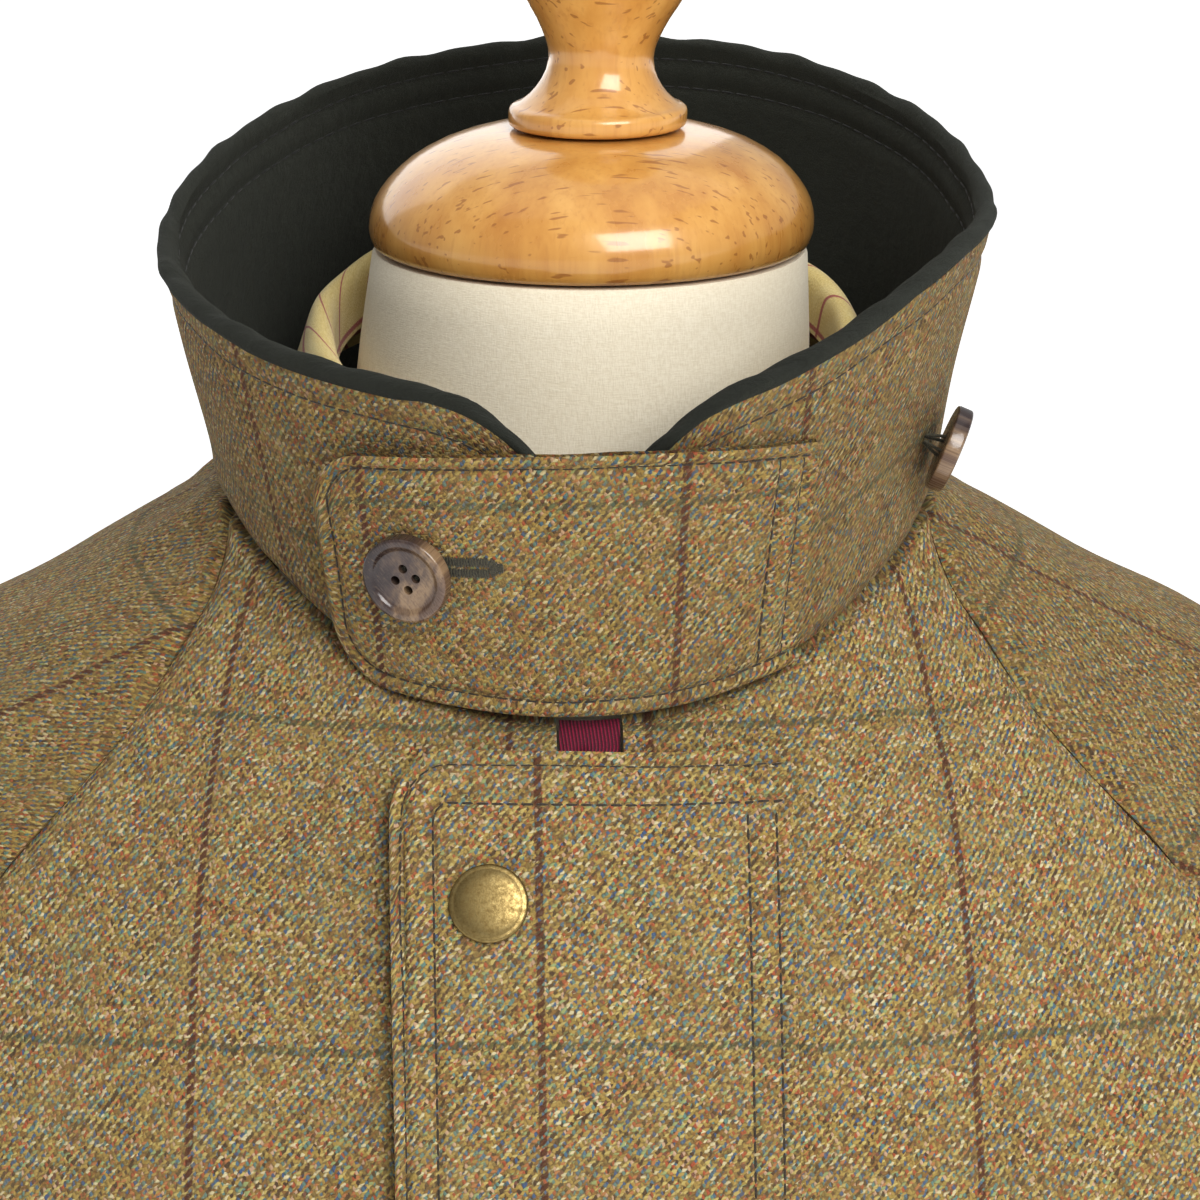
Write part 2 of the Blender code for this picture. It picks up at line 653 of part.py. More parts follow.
# ---------------------------------------------------------------- the pieces
FRONT_SEARCH_STEPS = 24     # halvings in level_at
FLAP_TOP_ROWS = 3           # rows of the flap above the first one it shares with the fronts
YOKE_STEPS = (0.0, 0.06, 0.13, 0.21, 0.30, 0.39, 0.48, 0.57, 0.66, 0.75, 0.84, 0.92, 1.0)
SKIRT_STEPS = (1.10, 1.06, 1.00, 0.92, 0.84, 0.76, 0.68, 0.60, 0.55, HEM_Z)
ARM_STEPS = (1.10, 1.07, 1.035, 1.00, 0.97, 0.945, 0.92, 0.895, 0.87, 0.845, 0.80, 0.75, 0.72,
             0.69, 0.655, CUFF_Z)
ACROSS = 8                  # columns from the centre to the raglan seam
SIDE_COLUMNS = 3            # and from there to the side seam
ARM_COLUMNS = 6             # columns from the raglan seam to the shoulder line


def edge_share(s):
    """The q of a front's centre edge on the ring at s."""
    half_gap = FRONT_EDGE_X[0] + ease(s, *FRONT_NOTCH) * (FRONT_EDGE_X[1] - FRONT_EDGE_X[0])
    return half_gap / yoke_seam_x(s, False)


def make_front(name, mirror):
    """A front: the yoke down to the underarm, then the skirt as far as the side seam."""
    panel = Panel(name, "tweed", TWEED)
    half = SEAM_GAP / 2.0

    def upper(p, s):
        edge = edge_share(s)
        return body_yoke(edge + p * (1.0 - edge), s, False)

    def lower(p, z):
        edge = edge_share(1.0)
        return body_skirt(edge + p * (1.0 - edge) if p <= 1.0 else p, z, False)

    across = [n / ACROSS for n in range(ACROSS + 1)]
    side = [1.0 + n / SIDE_COLUMNS for n in range(SIDE_COLUMNS + 1)]
    rows = len(YOKE_STEPS) - 1
    panel.patch(upper, across, YOKE_STEPS, lambda i, j: (i, j), front_of,
                (("a1", half), ("b0", half)))
    panel.patch(lower, across, SKIRT_STEPS, lambda i, j: (i, j + rows), front_of)
    panel.patch(lower, side, SKIRT_STEPS, lambda i, j: (i + ACROSS, j + rows), side_of,
                (("a1", half), ("b0", half)))
    return panel.build(mirror)


def make_back():
    """The back, in one piece from side seam to side seam."""
    panel = Panel("back", "tweed", TWEED)
    half = SEAM_GAP / 2.0
    rows = len(YOKE_STEPS) - 1

    def sided(surface):
        def place(p, level):
            point = surface(abs(p), level, True)
            return point * np.array((-1.0 if p < 0.0 else 1.0, 1.0, 1.0))
        return place

    across = [n / ACROSS for n in range(-ACROSS, ACROSS + 1)]
    side = [1.0 + n / SIDE_COLUMNS for n in range(SIDE_COLUMNS + 1)]
    panel.patch(sided(body_yoke), across, YOKE_STEPS, lambda i, j: (i - ACROSS, j), back_of,
                (("a0", half), ("a1", half), ("b0", half)))
    panel.patch(sided(body_skirt), across, SKIRT_STEPS, lambda i, j: (i - ACROSS, j + rows), back_of)
    panel.patch(sided(body_skirt), side, SKIRT_STEPS, lambda i, j: (i + ACROSS, j + rows), side_of,
                (("a1", half), ("b0", half)))
    panel.patch(sided(body_skirt), [-p for p in side], SKIRT_STEPS,
                lambda i, j: (-i - ACROSS, j + rows), side_of, (("a1", half), ("b0", half)))
    return panel.build()


def front_of(point):
    """Outward, for a point of the front."""
    return np.array((0.0, -1.0, 0.3))


def back_of(point):
    """Outward, for a point of the back."""
    return np.array((0.0, 1.0, 0.3))


def side_of(point):
    """Outward, for a point of the body's side."""
    return np.array((point[0], 0.0, 0.0))


def up_of(point):
    """Outward, for the top of the shoulder."""
    return np.array((0.3, 0.0, 1.0))


def make_sleeve(name, mirror):
    """A raglan sleeve: the cap up to the neck seam and the tube down to the cuff."""
    panel = Panel(name, "tweed", TWEED)
    half = SEAM_GAP / 2.0
    rows = len(YOKE_STEPS) - 1
    cap = [n / ARM_COLUMNS for n in range(-ARM_COLUMNS, ARM_COLUMNS + 1)]
    inner = [1.0 + n / SIDE_COLUMNS for n in range(SIDE_COLUMNS + 1)]
    last = ARM_COLUMNS + SIDE_COLUMNS

    def ring_key(i, j):
        return (last if abs(i) == last else i, j + rows)

    panel.patch(sleeve_yoke, cap, YOKE_STEPS, lambda i, j: (i - ARM_COLUMNS, j), up_of,
                (("a0", half), ("a1", half), ("b0", half)))
    panel.patch(sleeve_tube, cap, ARM_STEPS, lambda i, j: ring_key(i - ARM_COLUMNS, j), out_of)
    panel.patch(sleeve_tube, [-p for p in inner], ARM_STEPS,
                lambda i, j: ring_key(-i - ARM_COLUMNS, j), out_of, (("b0", half),))
    panel.patch(sleeve_tube, inner, ARM_STEPS, lambda i, j: ring_key(i + ARM_COLUMNS, j), out_of,
                (("b0", half),))
    for spot, point in panel.points.items():
        if spot[1] == rows and abs(spot[0]) >= ARM_COLUMNS:
            panel.points[spot] = point + np.array((half, 0.0, 0.0))
    return panel.build(mirror)


def out_of(point):
    """Outward, for a point of the sleeve's tube."""
    ring = SLEEVE.at(point[2])
    return np.array((point[0] - ring.centre_x, point[1] - ring.centre_y, 0.0))


def collar_stations(count):
    """Stations of the collar, closer together at its front corners."""
    shares = np.linspace(-1.0, 1.0, count)
    return np.sign(shares) * (np.abs(shares) ** 0.85)


def make_collar_wall(name, finish_name, thickness, inward, rises, count=41):
    """One wall of the stand collar, lying a distance inside the collar's outer surface."""
    panel = Panel(name, finish_name, thickness)

    def surface(share, rise):
        end = collar_end_station(rise)
        station = 180.0 + share * (180.0 - end)
        station = station - 360.0 if station > 180.0 else station
        return collar_at(station, rise) - inward * collar_normal(station, rise)

    panel.patch(surface, list(collar_stations(count)), rises, lambda i, j: (i, j),
                lambda point: np.array((point[0], point[1], 0.0)))
    return panel.build()


def tab_edges(station):
    """Heights of the tab's lower and upper edge."""
    sine2 = math.sin(math.radians(station)) ** 2
    low, high = TAB_EDGE_Z
    low_rise, high_rise = TAB_EDGE_RISE_FREE if station < 0.0 else TAB_EDGE_RISE_SEWN
    return low + low_rise * sine2, high + high_rise * sine2


def tab_lift(station):
    """How far the tab's outer face stands off the collar."""
    first, last = TAB_STATIONS
    share = (station - first) / (last - first)
    return LAY_GAP + TURNED_TWEED + TAB_LIFT * (1.0 - ease(share, *TAB_LIFT_FADE))


def make_tab():
    """The throat tab, from the collar's own points moved out."""
    panel = Panel("throat_tab", "tweed", TURNED_TWEED)
    first, last = TAB_STATIONS
    length = math.radians(last - first) * TAB_RADIUS

    def surface(share, up):
        station = first + share * (last - first)
        from_end = share * length
        drop = 0.0
        if from_end < TAB_CORNER:
            drop = TAB_CORNER - math.sqrt(TAB_CORNER**2 - (TAB_CORNER - from_end) ** 2)
        low, high = tab_edges(station)
        z = low + drop + up * (high - low - 2.0 * drop)
        seam_z = neck_seam_z(station)
        rise = (z - seam_z) / (RIM.at(station).z - seam_z)
        return collar_at(station, rise, False) + tab_lift(station) * collar_normal(station, rise)

    corner = [TAB_CORNER / length * (1.0 - math.cos(math.pi / 2.0 * n / 5)) for n in range(6)]
    shares = corner + [corner[-1] + (1.0 - corner[-1]) * n / 14 for n in range(1, 15)]
    panel.patch(surface, shares, [n / 5 for n in range(6)], lambda i, j: (i, j), front_of)
    return panel.build()


def flap_lift(x):
    """How far the flap's outer face stands off the fronts."""
    return LAY_GAP + TURNED_TWEED + FLAP_LIFT * (1.0 - ease(x + FLAP_HALF_WIDTH, *FLAP_LIFT_FADE))


def make_flap():
    """The storm flap, from the fronts' points moved out."""
    panel = Panel("storm_flap", "tweed", TURNED_TWEED)
    corner = [-FLAP_HALF_WIDTH + FLAP_CORNER * (1.0 - math.cos(math.pi / 2.0 * n / 4)) for n in range(5)]
    across = corner + [corner[-1] + (FLAP_HALF_WIDTH - corner[-1]) * n / 4 for n in range(1, 5)]
    shared = strip_rows(FLAP_TOP_Z - FLAP_CORNER, FLAP_BOTTOM_Z, across)

    def surface(x, row):
        from_edge = x + FLAP_HALF_WIDTH
        drop = 0.0
        if from_edge < FLAP_CORNER:
            drop = FLAP_CORNER - math.sqrt(FLAP_CORNER**2 - (FLAP_CORNER - from_edge) ** 2)
        top = level_at(x, FLAP_TOP_Z - drop)
        if row < FLAP_TOP_ROWS:
            level = top + (shared[0] - top) * row / FLAP_TOP_ROWS
        else:
            low = min(int(row - FLAP_TOP_ROWS), len(shared) - 2)
            level = shared[low] + (shared[low + 1] - shared[low]) * (row - FLAP_TOP_ROWS - low)
        return over_front(x, level, flap_lift(x))

    rows = [float(n) for n in range(FLAP_TOP_ROWS + len(shared))]
    panel.patch(surface, across, rows, lambda i, j: (i, j), front_of)
    return panel.build()


def make_zip():
    """The zip: a tape behind the fronts' edges, and its slider at the top."""
    panel = Panel("zip_tape", "zip_tape", ZIP_TAPE)
    across = [-ZIP_HALF_WIDTH, 0.0, ZIP_HALF_WIDTH]
    top_z = FLAP_TOP_Z - ZIP_DROP
    levels = [level_at(0.0, top_z)] + strip_rows(top_z, FLAP_BOTTOM_Z, across)
    panel.patch(lambda x, level: over_front(x, level, -TWEED - LAY_GAP), across, levels,
                lambda i, j: (i, j), front_of)
    panel.build()
    place = front_frame(0.0, FLAP_TOP_Z - SLIDER_DROP, SLIDER_OUT)
    slider = bmesh.new()
    bmesh.ops.create_cube(slider, size=1.0)
    bmesh.ops.scale(slider, vec=Vector(SLIDER_SIZE), verts=slider.verts)
    bmesh.ops.bevel(slider, geom=slider.edges[:], offset=SLIDER_BEVEL, segments=1, affect="EDGES")
    bmesh.ops.transform(slider, matrix=place, verts=slider.verts)
    add_bmesh("zip_slider", slider, "antique_brass")


def make_ribbon():
    """The crimson ribbon folded over the top of the zip."""
    panel = Panel("ribbon", "crimson_ribbon", RIBBON)

    def surface(x, down):
        z = FLAP_TOP_Z + RIBBON_RISE - RIBBON_LENGTH * down
        fold = RIBBON_FOLD * math.sin(math.pi * 2.2 * down + 40.0 * x) - RIBBON_SINK
        return over_front(x, level_at(x, z), fold)

    panel.patch(surface, [RIBBON_HALF_WIDTH * n / 2 for n in range(-2, 3)], [n / 6 for n in range(7)],
                lambda i, j: (i, j), front_of)
    panel.build()


def frame_at(point, normal, upward):
    """A placing matrix whose local Z is the normal and local Y is near upward."""
    z_axis = Vector(normal).normalized()
    x_axis = Vector(upward).cross(z_axis).normalized()
    y_axis = z_axis.cross(x_axis)
    turn = Matrix((x_axis, y_axis, z_axis)).transposed().to_4x4()
    return Matrix.Translation(Vector(point)) @ turn


def front_frame(x, z, out):
    """A placing matrix on the coat's front, a distance outside it."""
    level = level_at(x, z)
    return frame_at(over_front(x, level, out), front_normal(x, level), (0.0, 0.0, 1.0))


def collar_frame(station, rise_m, out):
    """A placing matrix on the collar, rise_m above the neck seam."""
    rise = rise_m / (RIM.at(station).z - neck_seam_z(station))
    normal = collar_normal(station, rise)
    return frame_at(collar_at(station, rise, False) + out * normal, normal, (0.0, 0.0, 1.0))


def disc(name, profile, place, finish_name, steps=24, holes=()):
    """A turned disc standing on its placing matrix, with round holes through it."""
    rings = [ellipse(0.0, 0.0, radius, radius, height, steps) for radius, height in profile]
    thing = loft(name, rings, finish_name, place)
    for number, (x, y, radius) in enumerate(holes):
        drill = bmesh.new()
        bmesh.ops.create_cone(drill, cap_ends=True, segments=10, radius1=radius, radius2=radius,
                              depth=DRILL_LENGTH)
        bmesh.ops.transform(drill, matrix=place @ Matrix.Translation((x, y, 0.0)), verts=drill.verts)
        drill_mesh = bpy.data.meshes.new(f"{name}_drill_{number}")
        drill.to_mesh(drill_mesh)
        drill.free()
        cutter = bpy.data.objects.new(drill_mesh.name, drill_mesh)
        CUTTERS.objects.link(cutter)
        cutter.hide_render = True
        cutter.display_type = "WIRE"
        cut = thing.modifiers.new(f"hole_{number}", "BOOLEAN")
        cut.object = cutter
    return thing


BUTTON_PROFILE = (
    (BUTTON_RADIUS - 0.0015, 0.0), (BUTTON_RADIUS, 0.0010), (BUTTON_RADIUS, BUTTON_THICKNESS - 0.0008),
    (BUTTON_RADIUS - 0.0006, BUTTON_THICKNESS - 0.0001), (BUTTON_RADIUS - 0.0012, BUTTON_THICKNESS),
    (BUTTON_RADIUS - BUTTON_RIM, BUTTON_THICKNESS - 0.0003),
    (BUTTON_RADIUS - BUTTON_RIM - 0.0007, BUTTON_THICKNESS - BUTTON_DISH),
)
STUD_PROFILE = (
    (STUD_RADIUS - 0.0005, 0.0), (STUD_RADIUS, 0.0004), (STUD_RADIUS, 0.0011),
    (STUD_RADIUS - 0.0008, 0.0016), (0.0040, STUD_HEIGHT),
)


def make_buttons():
    """The tab's button and the spare one on the collar's side."""
    holes = [(BUTTON_HOLE_CIRCLE * math.cos(math.radians(a)), BUTTON_HOLE_CIRCLE * math.sin(math.radians(a)),
              BUTTON_HOLE_RADIUS) for a in (100, 190, 280, 10)]
    tab_out = tab_lift(TAB_BUTTON_STATION) + DISC_GAP
    disc("tab_button", BUTTON_PROFILE, collar_frame(TAB_BUTTON_STATION, TAB_BUTTON_RISE, tab_out),
         "horn", holes=holes)
    disc("spare_button", BUTTON_PROFILE,
         collar_frame(SPARE_BUTTON_STATION, SPARE_BUTTON_RISE, SPARE_BUTTON_OUT)
         @ Matrix.Rotation(math.radians(SPARE_BUTTON_YAW), 4, "Y")
         @ Matrix.Rotation(math.radians(SPARE_BUTTON_TILT), 4, "X"), "horn", holes=holes)


def make_studs():
    """The press studs down the storm flap."""
    for number in range(STUD_COUNT):
        z = STUD_FIRST_Z - number * STUD_PITCH
        disc(f"stud_{number + 1}", STUD_PROFILE, front_frame(STUD_X, z, flap_lift(STUD_X) + DISC_GAP),
             "antique_brass", steps=18)


def make_neck_lining():
    """The pale lining that stands in a soft roll inside the collar."""
    panel = Panel("neck_lining", "check_cotton", NECK_LINING)

    def surface(share, across):
        station = 180.0 + share * (180.0 - ROLL_OPENING)
        angle = math.radians(station)
        _, half_width, half_depth, rise = ROLL.at(across)
        y = ROLL_CENTRE[1] - half_depth * math.cos(angle)
        return np.array((ROLL_CENTRE[0] + half_width * math.sin(angle), y,
                         ROLL_TOP_Z + ROLL_SLOPE * y + rise))

    panel.patch(surface, list(np.linspace(-1.0, 1.0, 27)), [0.0, 0.3, 0.52, 0.68, 0.82, 1.0],
                lambda i, j: (i, j), lambda point: np.array((point[0], point[1], 0.05)))
    panel.build()


def make_form():
    """The dress form's covered body, its cap and finial, the pole and the base."""
    rings = [ellipse(lean_at(z), centre_y, half_width, half_depth, z, FORM_STEPS)
             for z, half_width, half_depth, centre_y in FORM]
    loft("form_body", rings, "calico")
    turned("neck_cap", CAP_PROFILE, CAP_Z, "beech", lean=True)
    turned("finial", FINIAL_PROFILE, FINIAL_Z, "beech", lean=True, steps=24)
    turned("base", BASE_PROFILE, 0.0, "beech", steps=36)
    pole_low, pole_high = BASE_PROFILE[-1][1] + STAND_GAP, FORM[0][0] - STAND_GAP
    turned("pole", ((POLE_RADIUS, 0.0), (POLE_RADIUS, pole_high - pole_low)), pole_low, "beech", steps=16)


# ---------------------------------------------------------------- build
for old in list(bpy.data.objects):
    bpy.data.objects.remove(old, do_unlink=True)
COAT = bpy.data.collections.new("field_coat")
CUTTERS = bpy.data.collections.new("cutters")
bpy.context.scene.collection.children.link(COAT)
bpy.context.scene.collection.children.link(CUTTERS)

make_front("front_left", mirror=False)
make_front("front_right", mirror=True)
make_back()
make_sleeve("sleeve_left", mirror=False)
make_sleeve("sleeve_right", mirror=True)
make_collar_wall("collar_outer", "tweed", COLLAR_CLOTH, 0.0, (0.006, 0.25, 0.5, 0.75, 0.92, 0.985))
make_collar_wall("collar_lining", "collar_wool", COLLAR_LINING, COLLAR_CLOTH + COLLAR_LAYER_GAP,
                 (0.03, 0.25, 0.5, 0.75, 0.92, 1.0))
make_tab()
make_flap()
make_zip()
make_ribbon()
make_buttons()
make_studs()
make_neck_lining()
make_form()
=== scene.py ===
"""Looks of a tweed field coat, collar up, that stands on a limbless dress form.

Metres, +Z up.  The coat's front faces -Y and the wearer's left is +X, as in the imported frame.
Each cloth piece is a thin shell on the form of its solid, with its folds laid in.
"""

import logging
import math
from dataclasses import dataclass
from enum import Enum
from typing import Callable, Sequence

import bmesh
import bpy
import numpy as np
from mathutils import Matrix, Vector
from mathutils.bvhtree import BVHTree

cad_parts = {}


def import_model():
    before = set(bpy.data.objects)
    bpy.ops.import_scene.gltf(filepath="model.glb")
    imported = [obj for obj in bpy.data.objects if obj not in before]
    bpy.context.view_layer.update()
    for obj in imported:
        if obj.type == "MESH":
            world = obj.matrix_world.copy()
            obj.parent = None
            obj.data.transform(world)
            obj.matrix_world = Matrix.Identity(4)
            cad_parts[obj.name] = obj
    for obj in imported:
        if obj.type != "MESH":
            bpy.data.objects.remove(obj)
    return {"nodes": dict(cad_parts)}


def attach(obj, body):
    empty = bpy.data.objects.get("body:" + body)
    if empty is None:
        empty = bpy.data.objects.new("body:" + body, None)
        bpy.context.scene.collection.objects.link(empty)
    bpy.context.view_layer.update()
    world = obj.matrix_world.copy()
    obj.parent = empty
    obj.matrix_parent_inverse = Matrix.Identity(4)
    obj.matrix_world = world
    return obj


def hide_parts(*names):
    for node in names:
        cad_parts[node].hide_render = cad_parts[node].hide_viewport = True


LOG = logging.getLogger("field_coat")
Array = np.ndarray
Thing = bpy.types.Object
Material = bpy.types.Material
Socket = bpy.types.NodeSocket
Value = float | Socket
Colour = Sequence[float]
Surface = Callable[[Array, Array], Array]       # points at the places (a, b) of a grid


# ---------------------------------------------------------------- the coat's cut
class Table:
    """Rows of sizes along a garment, read anywhere by a smooth curve through them."""

    def __init__(self, *rows: Sequence[float]) -> None:
        """Keep the rows, key first, and the slope of every column at each row."""
        data = np.array(sorted(rows), float)
        self.keys, self.values = data[:, 0], data[:, 1:]
        index = np.arange(len(data))
        low, high = np.maximum(index - 1, 0), np.minimum(index + 1, len(data) - 1)
        self.slopes = (self.values[high] - self.values[low]) / (self.keys[high] - self.keys[low])[:, None]

    def at(self, key: Array | float) -> Array:
        """Read the columns at the keys.

        Args:
            key: One key or an array of them.

        Returns:
            One array for each column, in the shape of key.
        """
        key = np.clip(np.asarray(key, float), self.keys[0], self.keys[-1])
        low = np.clip(np.searchsorted(self.keys, key, side="right") - 1, 0, len(self.keys) - 2)
        step = self.keys[low + 1] - self.keys[low]
        t = ((key - self.keys[low]) / step)[..., None]
        step = step[..., None]
        found = ((2 * t**3 - 3 * t**2 + 1) * self.values[low] + (t**3 - 2 * t**2 + t) * step * self.slopes[low]
                 + (3 * t**2 - 2 * t**3) * self.values[low + 1] + (t**3 - t**2) * step * self.slopes[low + 1])
        return np.moveaxis(found, -1, 0)


TWEED, TURNED_TWEED = 0.002, 0.003
SEAM_GAP, LAY_GAP = 0.0004, 0.0005
UNDERARM_Z, HEM_Z, CUFF_Z = 1.1, 0.5, 0.62

# Yoke rings from the neck seam (0) to the underarm (1): side x and z, front y and z, back y and z.
YOKE = Table(
    (0.0, 0.078, 1.33, 0.076, 1.2975, 0.073, 1.348),
    (0.12, 0.095, 1.3205, 0.088, 1.285, 0.088, 1.338),
    (0.27, 0.122, 1.306, 0.101, 1.264, 0.108, 1.312),
    (0.45, 0.162, 1.285, 0.114, 1.234, 0.126, 1.272),
    (0.62, 0.205, 1.257, 0.125, 1.2, 0.137, 1.228),
    (0.78, 0.245, 1.218, 0.133, 1.166, 0.142, 1.185),
    (0.9, 0.274, 1.164, 0.138, 1.133, 0.143, 1.142),
    (1.0, 0.29, 1.1, 0.141, 1.1, 0.143, 1.1),
)
# Where the raglan seams cross those rings: front and back distance from the centre line.
RAGLAN = Table(
    (0.0, 0.0765, 0.07), (0.06, 0.0788, 0.074), (0.12, 0.083, 0.079), (0.27, 0.0985, 0.095),
    (0.45, 0.1245, 0.118), (0.62, 0.15, 0.143), (0.78, 0.1725, 0.169), (0.9, 0.189, 0.188),
    (1.0, 0.197, 0.197),
)
CREASE_FROM, CREASE_TO = 0.45, 1.0
# Body rings below the underarm: half-width, front y, back y, squareness.
BODY = Table(
    (1.1, 0.208, 0.141, 0.143, 3.2), (1.05, 0.207, 0.142, 0.143, 2.9),
    (1.0, 0.206, 0.142, 0.142, 2.6), (0.9, 0.208, 0.141, 0.14, 2.4),
    (0.8, 0.214, 0.143, 0.143, 2.3), (0.7, 0.221, 0.147, 0.148, 2.3),
    (0.6, 0.227, 0.151, 0.153, 2.3), (0.5, 0.232, 0.154, 0.157, 2.3),
)
ARMPIT_Y, SLEEVE_BULGE = 0.08, 0.03
# Sleeve rings below the underarm: centre x and y, half-width, half-depth.
SLEEVE = Table(
    (1.1, 0.249, 0.0, 0.041, 0.09), (1.05, 0.259, -0.002, 0.045, 0.085),
    (1.0, 0.268, -0.004, 0.047, 0.08), (0.9, 0.281, -0.008, 0.048, 0.072),
    (0.8, 0.294, -0.014, 0.047, 0.066), (0.7, 0.306, -0.022, 0.046, 0.061),
    (0.62, 0.315, -0.03, 0.045, 0.058),
)
SLEEVE_ROUND_BY = 0.12
ELBOW_FOLDS = (             # z, direction in degrees, depth, reach
    (0.955, 60.0, 0.005, 0.016), (0.905, 100.0, 0.007, 0.018), (0.858, 75.0, 0.0055, 0.015),
    (0.735, -120.0, 0.0045, 0.02), (0.68, 110.0, 0.004, 0.016),
)
FLUTE_DEPTH, FLUTE_PITCH, FLUTE_TOP_Z, FLUTE_CLEAR_X = 0.006, 0.115, 0.95, 0.06
COLLAR_BASE = (0.078, 0.0745, -0.0015)     # half-width, half-depth, centre y at the seam
COLLAR_RIM = (0.092, 0.0866, -0.0014)      # and at the top edge
# Height of the top edge at stations in degrees from centre front, the wearer's left positive.
RIM = Table(
    (-180.0, 1.4173), (-150.0, 1.4116), (-120.0, 1.4), (-90.0, 1.3865), (-65.0, 1.38),
    (-48.0, 1.3755), (-33.0, 1.3725), (-18.0, 1.37), (0.0, 1.369), (18.0, 1.3705),
    (33.0, 1.3775), (48.0, 1.386), (65.0, 1.3925), (90.0, 1.3955), (120.0, 1.4072),
    (150.0, 1.4157), (180.0, 1.4173),
)
COLLAR_CLOTH, COLLAR_LINING = 0.0016, 0.002
COLLAR_END_X = (0.0075, 0.0115)
COLLAR_CORNER, COLLAR_CORNER_RUN, COLLAR_CORNER_POWER = 0.0135, 0.026, 2.2
TAB_STATIONS, TAB_RADIUS, TAB_EDGE_Z = (-38.8, 32.0), 0.087, (1.3, 1.3586)
TAB_EDGE_RISE_FREE, TAB_EDGE_RISE_SEWN = (0.0165, -0.0075), (0.027, -0.0045)
TAB_CORNER, TAB_LIFT, TAB_LIFT_FADE = 0.0125, 0.0026, (0.05, 0.75)
FLAP_HALF_WIDTH, FLAP_TOP_Z, FLAP_BOTTOM_Z, FLAP_CORNER = 0.0415, 1.2905, 0.515, 0.0125
FLAP_LIFT, FLAP_LIFT_FADE = 0.0022, (0.004, 0.06)
FRONT_EDGE_X, FRONT_NOTCH = (0.007, 0.003), (0.12, 0.25)
DISC_GAP = 0.0009
ROLL_CENTRE = (0.0018, -0.0005)
# The neck lining's roll from its outer to its inner edge: half-width, half-depth, rise.
ROLL = Table(
    (0.0, 0.0675, 0.065, -0.024), (0.3, 0.064, 0.0625, -0.01), (0.52, 0.0612, 0.06, -0.0022),
    (0.68, 0.0585, 0.0574, 0.0), (0.82, 0.056, 0.055, -0.002), (1.0, 0.0545, 0.0536, -0.011),
)
ROLL_TOP_Z, ROLL_SLOPE, ROLL_OPENING = 1.367, 0.25, 34.0
FORM_LEAN, FORM_LEAN_FROM_Z = 0.058, 1.33


def ease(value: Array | float, low: float, high: float) -> Array:
    """Rise smoothly from 0 at low to 1 at high."""
    t = np.clip((np.asarray(value, float) - low) / (high - low), 0.0, 1.0)
    return t * t * (3.0 - 2.0 * t)


def unit(vectors: Array) -> Array:
    """Return the vectors at length one."""
    return vectors / np.maximum(np.linalg.norm(vectors, axis=-1, keepdims=True), 1e-12)


def lean_at(z: float) -> float:
    """How far the form leans to the wearer's left at a height."""
    return max(0.0, z - FORM_LEAN_FROM_Z) * FORM_LEAN


def wrap(station: Array) -> Array:
    """Stations in degrees, brought back to -180 to 180."""
    return np.where(station > 180.0, station - 360.0, station)


class Side(Enum):
    """The half of the coat that a surface belongs to."""

    FRONT = -1.0
    BACK = 1.0

    def pick(self, front: object, back: object) -> object:
        """The front's value or the back's."""
        return back if self is Side.BACK else front


